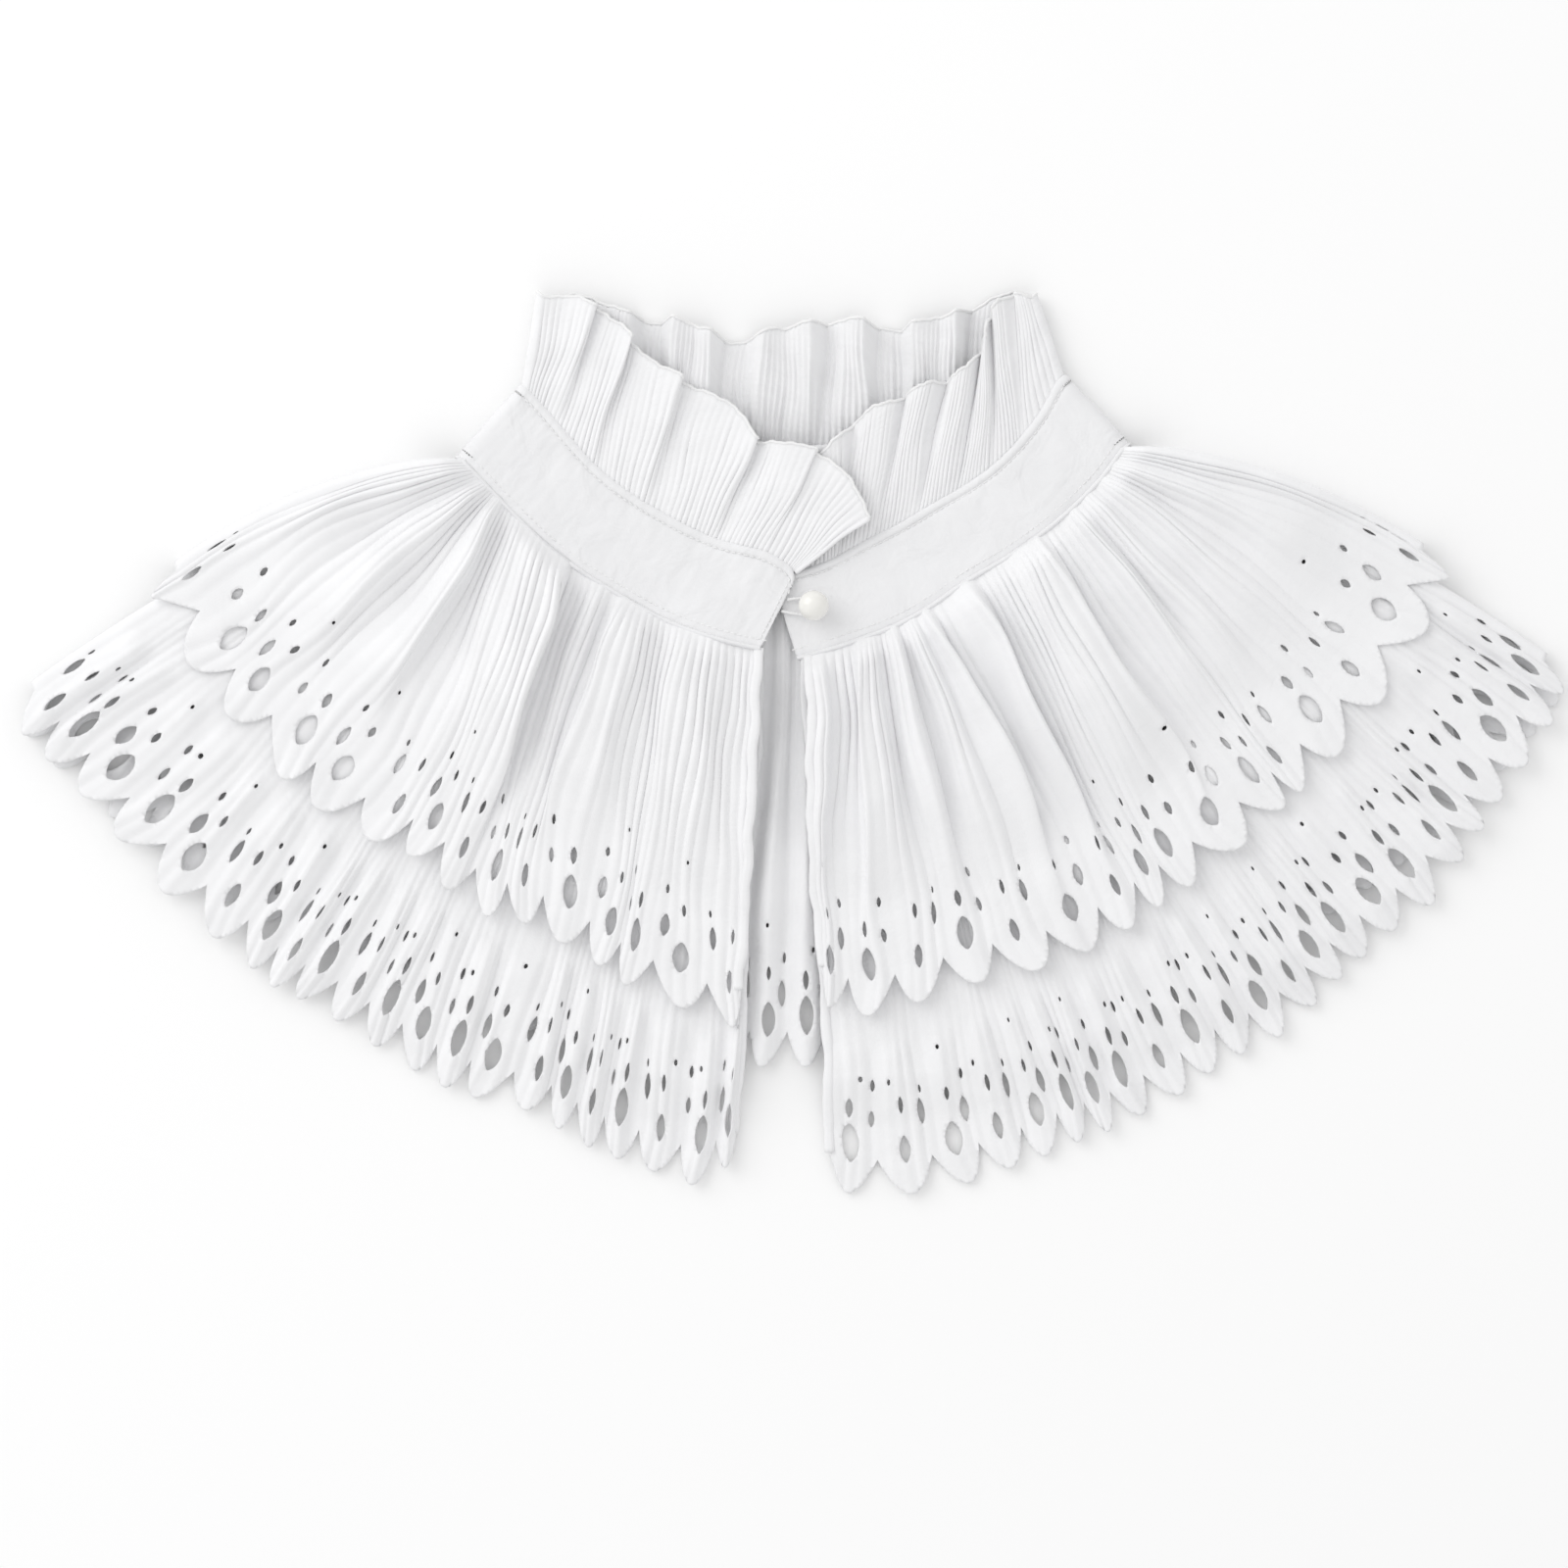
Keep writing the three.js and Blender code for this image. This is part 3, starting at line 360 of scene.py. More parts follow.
END_CORNER_RADIUS = 0.0042
band_path = round_the_neck(
    rounded_end(band_strip("left", FRONT_BAND_TOP_Z, FRONT_BAND_LOW_Z, 1), END_CORNER_RADIUS),
    band_strip("back", BACK_BAND_Z, BACK_BAND_Z, -1),
    band_strip("right", FRONT_BAND_TOP_Z, FRONT_BAND_LOW_Z, 1),
)

# How far each place of the band's face is from its top edge, and how thick it is there: rounded edges,
# a welt 3 mm wide above the stitches, a groove where they pull in, and a flat body
BAND_PROFILE = table("across thickness", [
    (0.0000, 0.10), (0.0002, 0.50), (0.0006, 0.92), (0.0012, 1.15), (0.0019, 1.22), (0.0026, 1.02),
    (0.0030, 0.60), (0.0034, 0.64), (0.0040, 0.90), (0.0052, 1.00), (0.0090, 1.00), (0.0140, 1.00),
    (0.0200, 1.00), (0.0250, 1.00), (0.0280, 0.98), (0.0296, 0.86), (0.0303, 0.70), (0.0308, 0.40),
    (0.0310, 0.10),
])


def band_mesh():
    upper, lower, facing = band_path
    down = lower - upper
    width = np.linalg.norm(down, axis=1, keepdims=True)
    run = length_along((upper + lower) / 2)
    share = BAND_PROFILE["across"] / BAND_PROFILE["across"][-1]
    half = BAND_PROFILE["thickness"] * BAND_THICKNESS / 2
    corners, uv = [], []
    for side in (1, -1):
        order = np.arange(len(share)) if side > 0 else np.arange(len(share))[::-1]
        for j in order:
            middle = upper + down * share[j]
            pucker = PUCKER * wander(run * 900, share[j] * 5, 3) * (1 if 0.03 < share[j] < 0.97 else 0)
            dent = DENT * wander(run * 130, share[j] * 5, 8) * math.sin(math.pi * share[j])
            lift = side * half[j] + pucker + dent
            corners.append(middle + facing * lift[:, None])
            uv.append(np.column_stack([run, share[j] * width[:, 0]]))
    corners, uv = np.stack(corners, 1), np.stack(uv, 1)
    rows = corners.shape[1]
    faces = [face[::-1] for face in grid_faces(len(corners), rows, closed=True).tolist()]
    faces.append(list(range(rows)))
    faces.append([(len(corners) - 1) * rows + j for j in range(rows)][::-1])
    return new_piece("smooth_neckband", corners.reshape(-1, 3), faces, uv.reshape(-1, 2))


smooth_neckband = finish_piece(band_mesh(), smooth_cotton, ["neckband"])


def tube(name, path, radius, sides=8, flatten=1.0, up=None):
    """A cord or rolled edge along path, closed at both ends. flatten is its height over its width."""
    path = np.asarray(path, float)
    along = unit(np.gradient(path, axis=0))
    up = np.tile([0, 0, 1.0], (len(path), 1)) if up is None else up
    across = unit(np.cross(up, along))
    over = np.cross(along, across)
    radius = np.broadcast_to(radius, len(path))[:, None]
    corners = []
    for turn in np.arange(sides) * 2 * math.pi / sides:
        corners.append(path + across * radius * math.cos(turn) + over * radius * flatten * math.sin(turn))
    corners = np.stack(corners, 1)
    run = length_along(path)
    uv = np.stack([np.column_stack([run, np.full(len(run), j * 0.0003)]) for j in range(sides)], 1)
    faces = grid_faces(len(path), sides, closed=True).tolist()
    faces.append(list(range(sides))[::-1])
    faces.append([(len(path) - 1) * sides + j for j in range(sides)])
    return new_piece(name, corners.reshape(-1, 3), faces, uv.reshape(-1, 2))


def resample(path, step):
    run = length_along(path)
    at = np.linspace(0, run[-1], max(2, round(run[-1] / step) + 1))
    return np.column_stack([np.interp(at, run, path[:, k]) for k in range(path.shape[1])])


STITCH_STEP = 0.0021
STITCH_LENGTH = 0.0016
THREAD_RADIUS = 0.00030
STITCH_SHAPE = [(-0.5, 0.35), (-0.25, 0.9), (0.25, 0.9), (0.5, 0.35)]


def stitches(name, path, up, sides=5):
    """A row of short raised stitches along path, each a closed spindle of thread."""
    both = resample(np.column_stack([path, up]), STITCH_STEP)
    places, ups = both[:, :3], both[:, 3:]
    along = unit(np.gradient(places, axis=0))
    across = np.cross(ups, along)
    verts, faces = [], []
    for place, forward, side, upward in zip(places, along, across, ups):
        start = len(verts)
        for shift, swell in STITCH_SHAPE:
            for turn in range(sides):
                angle = turn * 2 * math.pi / sides
                ring = side * math.cos(angle) + upward * math.sin(angle)
                verts.append(place + forward * shift * STITCH_LENGTH + ring * THREAD_RADIUS * swell)
        for i in range(len(STITCH_SHAPE) - 1):
            for j in range(sides):
                a, b = start + i * sides + j, start + i * sides + (j + 1) % sides
                faces.append([a, b, b + sides, a + sides])
        faces.append([start + j for j in range(sides)][::-1])
        faces.append([start + (len(STITCH_SHAPE) - 1) * sides + j for j in range(sides)])
    return new_piece(name, verts, faces, np.array(verts)[:, :2])


thread_white = cotton(
    "white_thread", (0.88, 0.88, 0.88), roughness=0.6, thread=0.0002, relief=0.3, sheen=0.1,
    crease=0.0010, crease_depth=0.0001,
)
STITCH_INSET = 0.0031
LOW_STITCH_INSET = 0.0030
CORD_INSET = -0.0001


def band_face(inset, from_low=False, lift=0.5):
    """A line on the band's face, in from an edge and lifted by a share of its thickness, and its facing."""
    upper, lower, facing = band_path
    down = unit(lower - upper)
    start = lower - down * inset if from_low else upper + down * inset
    return start + facing * BAND_THICKNESS * lift, facing


line, facing = band_face(STITCH_INSET, lift=0.42)
top_stitches = stitches("top_edge_stitches", line, facing)
finish_piece(top_stitches, thread_white)

END_STITCH_POINTS = 20
end_upper, end_lower, end_facing = (column[0] for column in band_path)
inward = band_path[0][6] - band_path[0][0]
inward /= np.linalg.norm(inward)
end_share = np.linspace(0.1, 0.97, END_STITCH_POINTS)[:, None]
end_line = end_upper + (end_lower - end_upper) * end_share + inward * STITCH_INSET
end_line = end_line + end_facing * BAND_THICKNESS * 0.5
end_stitches = stitches("front_end_stitches", end_line, np.tile(end_facing, (END_STITCH_POINTS, 1)))
finish_piece(end_stitches, thread_white)

CORD_RADIUS = 0.0008
line, facing = band_face(LOW_STITCH_INSET, from_low=True, lift=0.47)
low_stitches = stitches("low_edge_stitches", line, facing)
finish_piece(low_stitches, thread_white)

line, facing = band_face(CORD_INSET, from_low=True, lift=0.35)
seam_cord = tube("lower_seam_cord", line, CORD_RADIUS, sides=6, up=facing)
finish_piece(seam_cord, smooth_cotton)


# Short back tier: pleated cotton with a scalloped, cut hem, gathered into the band's lower edge.
# It lies undermost, flat on the table, with its pleats pressed down, and its side edges turn up at the folds.
# Every tier is a strip of repeats: one scallop, its petal eyelets and four fine pressed pleats each.
pleat_cotton = cotton(
    "pleated_cotton", (0.88, 0.88, 0.89), roughness=0.85, thread=0.0004, relief=0.3, sheen=0.15,
    crease=0.0028, crease_depth=0.0003,
)
FAN_CENTRE = np.array([0.0, 0.1020])
SEAM_TUCK = 0.0007
REPEAT_WIDTH = 0.0140
SCALLOP_DEPTH = 0.0118
SCALLOP_POINT = 1.95
HEM_ZONE = 0.0520
CLOTH = 0.00045
PRESSED_PLEATS = 4
FOLD_WIDTH, FOLD_WIDTH_AT_SEAM, FOLD_STARTS = 0.003, 0.0008, 0.15
RIPPLE_AT_SEAM, RIPPLE_GROWTH, RIPPLE_AT_TIP = 0.0008, 0.0012, 0.0012
COVERED_FROM, COVERED_TO, COVERED_LIFT = 0.118, 0.044, 0.0009
TIP_LIFT = 0.0007
EYELET_SHIFT, EYELET_MARGIN, NET_GAP = 0.0014, 0.0004, 0.00028

# The eyelets of one repeat: across the repeat, depth over the tip, half width, half height, and how pointed
EYELETS = table("across depth half_width half_height points", [
    (0.50, 0.0158, 0.0029, 0.0063, 0.8),
    (0.98, 0.0255, 0.0014, 0.0040, 1.0),
    (0.50, 0.0300, 0.0012, 0.0032, 1.0),
    (0.98, 0.0355, 0.0008, 0.0020, 0.8),
    (0.27, 0.0365, 0.0007, 0.0010, 0.0),
    (0.70, 0.0400, 0.0007, 0.0010, 0.0),
    (0.45, 0.0460, 0.0006, 0.0009, 0.0),
])


def eyelet_outline(across, depth, half_width, half_height, points):
    """A petal, pointed at both ends, or a round dot where points is 0."""
    count = 18 if half_height > 0.004 else 12 if half_height > 0.0018 else 8
    turn = np.arange(count) * 2 * math.pi / count
    x = np.sin(turn) * np.abs(np.sin(turn)) ** (0.55 * points)
    return np.column_stack([across * REPEAT_WIDTH + half_width * x, depth + half_height * np.cos(turn)])


def scallop_edge(across):
    return SCALLOP_DEPTH * np.abs(2 * across - 1) ** SCALLOP_POINT


def repeat_cell(columns, row_step, kind, eyelet_size):
    """One repeat of the hem, flat: its scalloped edge, its eyelets, and side corners that meet the next one.
    The cut is done by hand, so three kinds of repeat differ a little and some of the dots are left out."""
    across = np.linspace(0, 1, columns + 1)
    hem = scallop_edge(across)
    rows = round((HEM_ZONE - SCALLOP_DEPTH) / row_step)
    side = np.linspace(SCALLOP_DEPTH, HEM_ZONE, rows + 1)
    edge = [(x * REPEAT_WIDTH, y) for x, y in zip(across, hem)]
    edge += [(REPEAT_WIDTH, y) for y in side[1:]]
    edge += [(x * REPEAT_WIDTH, HEM_ZONE) for x in across[::-1][1:]]
    edge += [(0.0, y) for y in side[::-1][1:-1]]
    loops = [edge]
    holes = []
    columns_read = ("across", "depth", "half_width", "half_height", "points")
    for i, hole in enumerate(zip(*(EYELETS[column] for column in columns_read))):
        size = (0.92 + 0.22 * math.sin(2.1 * i + 2.6 * kind)) * eyelet_size
        shift = EYELET_SHIFT * math.sin(4.3 * i + 1.9 * kind)
        if hole[4] == 0 and ((i + kind) % 3 or (eyelet_size < 1 and kind)):
            continue
        # an eyelet over the notch is cut by the repeat's side, so it moves in to leave the side whole
        half_width = hole[2] * size * (1 - 0.16 * kind)
        outline = eyelet_outline(hole[0], hole[1] + shift, half_width, hole[3] * size, hole[4])
        over = outline[:, 0].max() - (REPEAT_WIDTH - EYELET_MARGIN)
        if over > 0:
            outline[:, 0] -= over
        holes.append(outline)
        loops.append(outline.tolist())
    points, edges = [], []
    for loop in loops:
        start = len(points)
        points += loop
        edges += [(start + i, start + (i + 1) % len(loop)) for i in range(len(loop))]
    fixed = np.array(points)
    for depth in np.arange(0.001, HEM_ZONE - row_step * 0.4, row_step):
        for i in range(1, columns):
            x = across[i]
            if depth < scallop_edge(x) + EYELET_MARGIN:
                continue
            place = np.array([x * REPEAT_WIDTH, depth])
            if np.min(np.linalg.norm(fixed - place, axis=1)) < NET_GAP:
                continue
            points.append(tuple(place))
    out = delaunay_2d_cdt([tuple(p) for p in points], edges, [], 0, 1e-7, True)
    corners = np.array([tuple(v) for v in out[0]])
    faces = []
    for face in out[2]:
        middle = corners[list(face)].mean(axis=0)
        x = middle[0] / REPEAT_WIDTH
        if middle[1] < np.interp(x, across, hem):
            continue
        if any(inside(hole, middle) for hole in holes):
            continue
        face = list(face)
        a, b, c = corners[face[0]], corners[face[1]], corners[face[2]]
        if (b[0] - a[0]) * (c[1] - a[1]) - (b[1] - a[1]) * (c[0] - a[0]) < 0:
            face = face[::-1]
        faces.append(face)
    return corners / np.array([REPEAT_WIDTH, 1]), np.array(faces)


def inside(outline, place):
    """Whether a closed outline goes round a place, by the sides that a line from it crosses."""
    x, y = outline[:, 0], outline[:, 1]
    x2, y2 = np.roll(x, -1), np.roll(y, -1)
    crosses = (y > place[1]) != (y2 > place[1])
    at = x + (place[1] - y) / np.where(y2 == y, 1e-12, y2 - y) * (x2 - x)
    return bool(np.sum(crosses & (place[0] < at)) % 2)


def seam_place(part, share):
    """A place just inside the band's lower edge, by its share of that edge's length."""
    t = np.linspace(0, 1, 600)
    low, top = band_edge(part, "low", t), band_edge(part, "top", t)
    run = length_along(low)
    at = np.interp(share, run / run[-1], t)
    low = np.column_stack([np.interp(at, t, low[:, k]) for k in range(2)])
    top = np.column_stack([np.interp(at, t, top[:, k]) for k in range(2)])
    return low - unit(low - top) * SEAM_TUCK


def pleat_place(panel, pleat, along=None, depth=None):
    """Where a point of the cloth lies in plan, by its pleat and how far down it or above its tip it is."""
    lines = panel["lines"]
    tips = panel.get("tips", lines)
    start = seam_place(panel["band"], read(lines, "pleat", "seam", pleat))
    angle = np.radians(read(tips, "pleat", "angle", pleat)) * panel["side"]
    reach = read(tips, "pleat", "reach", pleat)
    tip = FAN_CENTRE + reach[:, None] * np.column_stack([np.sin(angle), -np.cos(angle)])
    chord = tip - start
    length = np.linalg.norm(chord, axis=1)
    if along is None:
        along = 1 - depth / length
    outside = np.column_stack([-chord[:, 1], chord[:, 0]]) / length[:, None] * panel["side"]
    bow = read(lines, "pleat", "bow", pleat) * 4 * along * (1 - along)
    place = start + chord * along[:, None] + outside * bow[:, None]
    return place, along, length, outside


def ease(t):
    """A smooth step from 0 to 1."""
    t = np.clip(t, 0, 1)
    return t * t * (3 - 2 * t)


def ripple(panel, along, depth):
    """How high the pleat of one scallop stands, from the seam to the hem."""
    grown = RIPPLE_AT_SEAM + RIPPLE_GROWTH * np.clip(along / panel.get("grows", 0.12), 0, 1)
    wide = panel.get("open_ripple", 0) * np.clip((along - 0.55) / 0.25, 0, 1)
    tip = np.clip((SCALLOP_DEPTH - depth) / SCALLOP_DEPTH, 0, 1)
    return (grown + wide) * (1 - tip) + RIPPLE_AT_TIP * tip


def pressed(panel, pleat, along):
    """The fine pressed pleats: round ridges with sharp valleys, highest at the seam and softer at the hem."""
    seed = panel["seed"]
    crest = np.abs(np.cos(math.pi * PRESSED_PLEATS * pleat))
    height = panel["pressed_seam"] * (1 - ease((along - 0.15) / 0.65)) + panel["pressed_hem"]
    uneven = np.clip(0.78 + 0.55 * wander(pleat * 2.6, along * 2.7, seed + 4), 0.2, 1.5)
    return height * uneven * crest


def slack(panel, pleat):
    """How much more than usual a repeat stands up where it is pushed together at the hem."""
    tips = panel.get("tips", panel["lines"])
    step = 0.25
    swept = read(tips, "pleat", "angle", pleat + step) - read(tips, "pleat", "angle", pleat - step)
    shown = np.radians(swept) / (2 * step) * read(tips, "pleat", "reach", pleat)
    return 0.35 + 1.3 * np.sqrt(np.clip(1 - (shown / REPEAT_WIDTH) ** 2, 0, 1))


def cloth_height(panel, place, pleat, along, depth):
    """How high a point of the cloth lies: on what is under it, with its scallop's pleat, folds and pleats."""
    seed = panel["seed"]
    share = pleat - np.floor(pleat)
    ridge = ((1 - np.cos(2 * math.pi * share)) / 2) ** 0.9
    uneven = 1 + 0.22 * wander(np.floor(pleat) * 2.7, along * 1.5, seed + 9)
    height = ridge * ripple(panel, along, depth) * uneven * panel.get("ripple", 1)
    hem_side = ease((along - 0.68) / 0.2)
    height = height * (1 + (slack(panel, pleat) - 1) * hem_side)
    under = panel.get("covered", 0) * ease((COVERED_FROM - depth) / 0.012)
    under = under * ease((depth - COVERED_TO) / 0.010)
    height = height * (1 - 0.85 * under) + COVERED_LIFT * under
    base = panel["base"](place, along)
    if "folds" in panel:
        folds = panel["folds"]
        seam, middle, hem = (read(folds, "pleat", column, pleat) for column in ("seam", "middle", "hem"))
        down = seam + (middle - seam) * ease((along - panel.get("folds_from", 0)) / 0.35)
        down = down + (hem - middle) * ease((along - 0.40) / 0.36)
        height = height * panel.get("over_folds", 1) + down
    soft = panel["soft"] * (0.5 + 0.5 * wander(pleat * 4.7, along * 1.3, seed + 11))
    soft = soft * ease(along / 0.25) * (1 - 0.8 * under)
    z = base + height + soft + pressed(panel, pleat, along) * (1 - 0.5 * under)
    if "joins" in panel:
        # the cloth runs in under the band's edge, so its folds start at the band's own height
        joined = (1 - ease(along / 0.07)) * 0.92
        share = read(panel["lines"], "pleat", "seam", pleat)
        z = z + (panel["joins"] + panel["lapped"] * lap(share) - z) * joined
    return z


def cloth_point(panel, pleat, along=None, depth=None):
    """A point of the tier in the row's frame, by its pleat and its place down the cloth."""
    seed = panel["seed"]
    place, along, length, outside = pleat_place(panel, pleat, along, depth)
    depth = (1 - along) * length
    moved = pleat
    if "folds" in panel:
        lean = read(panel["folds"], "pleat", "lean", pleat)
        moved = moved + 1.1 * lean * ease(along / 0.2) * (1 - 0.85 * ease((along - 0.55) / 0.35))
    free = ease(along / 0.25) * (1 - ease((along - 0.7) / 0.3))
    moved = moved + 0.17 * wander(pleat * 0.9, along * 4.5, seed + 2) * free
    over_notch = np.clip((SCALLOP_DEPTH - depth) / SCALLOP_DEPTH, 0, 1)
    moved = moved + 0.16 * np.sin(np.floor(pleat) * 5.1 + seed) * over_notch
    moved = np.clip(moved, 0, panel["pleats"])
    moved = np.where((pleat <= 0) | (pleat >= panel["pleats"]), pleat, moved)
    place, _, _, _ = pleat_place(panel, moved, along)
    z = cloth_height(panel, place, pleat, along, depth)
    z = z + TIP_LIFT * (1 + np.sin(np.floor(pleat) * 3.7 + seed)) * over_notch * panel.get("tip_lift", 0)
    if "edge_sway" in panel:
        sway = panel["edge_sway"] * wander(along * 6, along * 3, seed + 5) * ease(along / 0.1)
        place = place + np.column_stack([sway, 0 * sway]) * np.clip(1 - pleat / 1.5, 0, 1)[:, None]
    return np.column_stack([place, z]), along, length, outside


def side_fold(panel, pleat, alongs, edge, side):
    """The quarter turn at a side edge, as rings of corners out from the panel's last pleat."""
    place, _, _, outside = pleat_place(panel, np.full(len(alongs), float(pleat)), alongs)
    outside = outside * side
    starts = np.clip(alongs / FOLD_STARTS, 0, 1)
    width = FOLD_WIDTH_AT_SEAM + (FOLD_WIDTH - FOLD_WIDTH_AT_SEAM) * starts
    drop = (panel["meets"](place) - edge[:, 2]) * starts
    rings = []
    for turn in np.radians([18, 36, 54, 72, 90]):
        ring = edge.copy()
        ring[:, :2] += outside * (width * math.sin(turn))[:, None]
        ring[:, 2] += drop * (1 - math.cos(turn))
        rings.append(ring)
    return rings


def on_side(cell, across):
    return np.isclose(cell[:, 0], across, atol=1e-5)


def number_repeats(cells, count):
    """Numbers the corners of the repeats from count on. Two repeats share the corners between them."""
    index, pleats, depths = [], [], []
    for k, (cell, _) in enumerate(cells):
        numbers = np.full(len(cell), -1)
        if k:
            before = cells[k - 1][0]
            shared = {round(float(before[i, 1]), 6): index[-1][i] for i in np.where(on_side(before, 1))[0]}
            for i in np.where(on_side(cell, 0))[0]:
                numbers[i] = shared[round(float(cell[i, 1]), 6)]
        fresh = np.where(numbers < 0)[0]
        numbers[fresh] = count + np.arange(len(fresh))
        count += len(fresh)
        index.append(numbers)
        pleats.append(k + cell[fresh, 0])
        depths.append(cell[fresh, 1])
    return index, np.concatenate(pleats), np.concatenate(depths)


def repeat_faces(cells, index, columns, last_row):
    """Faces that join the net's last row to the top of each repeat, and then the repeats' own faces."""
    faces = []
    for k, (cell, _) in enumerate(cells):
        on_top = np.where(np.isclose(cell[:, 1], HEM_ZONE, atol=1e-7))[0]
        top = index[k][on_top[np.argsort(cell[on_top, 0])]]
        for c in range(columns):
            a = last_row + k * columns + c
            faces.append([a, top[c], top[c + 1], a + 1])
    for numbers, (_, triangles) in zip(index, cells):
        faces += numbers[triangles].tolist()
    return faces


def tier_mesh(name, panel):
    """The whole tier: a net from the seam to the hem zone, a row of repeats, and the folded side edges."""
    pleats, columns, plain_rows = panel["pleats"], panel["columns"], panel["plain_rows"]
    kinds = [repeat_cell(columns, panel["row_step"], kind, panel.get("eyelets", 1)) for kind in range(3)]
    cells = [kinds[(k * 7 + panel["seed"] + k // 3) % 3] for k in range(pleats)]
    across = np.arange(pleats * columns + 1) / columns
    width = len(across)
    _, _, length, _ = pleat_place(panel, across, np.ones(width))
    shares = [(row / plain_rows) ** 1.15 for row in range(plain_rows)]
    pleat = np.tile(across, plain_rows)
    along = np.concatenate([share * (1 - HEM_ZONE / length) for share in shares])
    index, cell_pleat, cell_depth = number_repeats(cells, len(pleat))
    upper, _, _, _ = cloth_point(panel, pleat, along)
    lower, _, cell_length, _ = cloth_point(panel, cell_pleat, depth=cell_depth)
    every = np.vstack([upper, lower])
    verts = [upper, lower]
    uv = [
        np.column_stack([pleat * REPEAT_WIDTH, along * np.tile(length, plain_rows)]),
        np.column_stack([cell_pleat * REPEAT_WIDTH, cell_length - cell_depth]),
    ]
    i, j = np.meshgrid(np.arange(width - 1), np.arange(plain_rows - 1), indexing="ij")
    here = (j * width + i).ravel()
    faces = np.stack([here, here + width, here + width + 1, here + 1], 1).tolist()
    faces += repeat_faces(cells, index, columns, (plain_rows - 1) * width)
    for edge_pleat, side in ((pleats, 1), (0, -1)) if panel.get("folds_both") else ((pleats, 1),):
        k, end_column = (pleats - 1, width - 1) if side > 0 else (0, 0)
        column = [row * width + end_column for row in range(plain_rows)]
        cell = cells[k][0]
        order = np.where(on_side(cell, 1 if side > 0 else 0))[0]
        order = order[np.argsort(-cell[order, 1])]
        _, _, edge_length, _ = pleat_place(panel, np.full(1, float(edge_pleat)), np.ones(1))
        alongs = np.concatenate([along[column], 1 - cell[order, 1] / edge_length[0]])
        column += index[k][order].tolist()
        edge_uv = np.column_stack([np.full(len(column), edge_pleat * REPEAT_WIDTH), alongs * edge_length[0]])
        previous = column
        for ring in side_fold(panel, edge_pleat, alongs, every[column], side):
            start = sum(len(v) for v in verts)
            verts.append(ring)
            uv.append(edge_uv)
            current = list(range(start, start + len(ring)))
            for r in range(len(ring) - 1):
                face = [previous[r], previous[r + 1], current[r + 1], current[r]]
                faces.append(face if side > 0 else face[::-1])
            previous = current
    if panel["side"] < 0:
        faces = [face[::-1] for face in faces]
    piece = new_piece(name, np.vstack(verts), faces, np.vstack(uv))
    return give_thickness(piece, CLOTH)


def give_thickness(piece, thickness):
    bpy.ops.object.select_all(action="DESELECT")
    bpy.context.view_layer.objects.active = piece
    piece.select_set(True)
    shell = piece.modifiers.new("cloth_thickness", "SOLIDIFY")
    shell.thickness = thickness
    shell.offset = 0
    bpy.ops.object.modifier_apply(modifier=shell.name)
    return piece


SHORT_BACK = {
    "side": 1, "band": "back", "pleats": 29, "seed": 1, "folds_both": True, "ripple": 0.55, "soft": 0.0002,
    "pressed_seam": 0.0003, "pressed_hem": 0.0001, "columns": 12, "plain_rows": 10, "row_step": 0.0024,
    "lines": table("pleat seam angle reach bow", [
        (0, 0.00, -75.8, 0.2170, -0.009),
        (5, 0.10, -52.0, 0.1810, -0.002),
        (10, 0.30, -22.0, 0.1550, 0),
        (14.5, 0.50, 0.0, 0.1490, 0),
        (19, 0.70, 22.0, 0.1550, 0),
        (24, 0.90, 54.0, 0.1830, 0.002),
        (29, 1.00, 78.0, 0.2235, 0.008),
    ]),
    "base": lambda place, along: np.full(len(place), 0.0004),
    "meets": lambda place: np.full(len(place), 0.0045),
}
short_back_tier = tier_mesh("short_back_tier", SHORT_BACK)
finish_piece(short_back_tier, pleat_cotton, ["upper_tier_back"])


# Long back tier: the same cloth, 60 mm longer. It lies on the short one and drops to the table past its hem.
# Its inner side shows between the two fronts, with the same scallops and eyelets.
BACK_LOWER_LIFT = 0.0028
DROP_START, DROP_LENGTH = 0.002, 0.020


def past_hem(lines, place):
    """How far past a tier's hem a place in plan is."""
    away = place - FAN_CENTRE
    angle = np.degrees(np.arctan2(away[:, 0], -away[:, 1]))
    return np.linalg.norm(away, axis=1) - read(lines, "angle", "reach", angle)


def over_back_upper(place):
    """1 where the short back tier lies under a place, and down to 0 past its hem."""
    return 1 - np.clip((past_hem(SHORT_BACK["lines"], place) - DROP_START) / DROP_LENGTH, 0, 1)


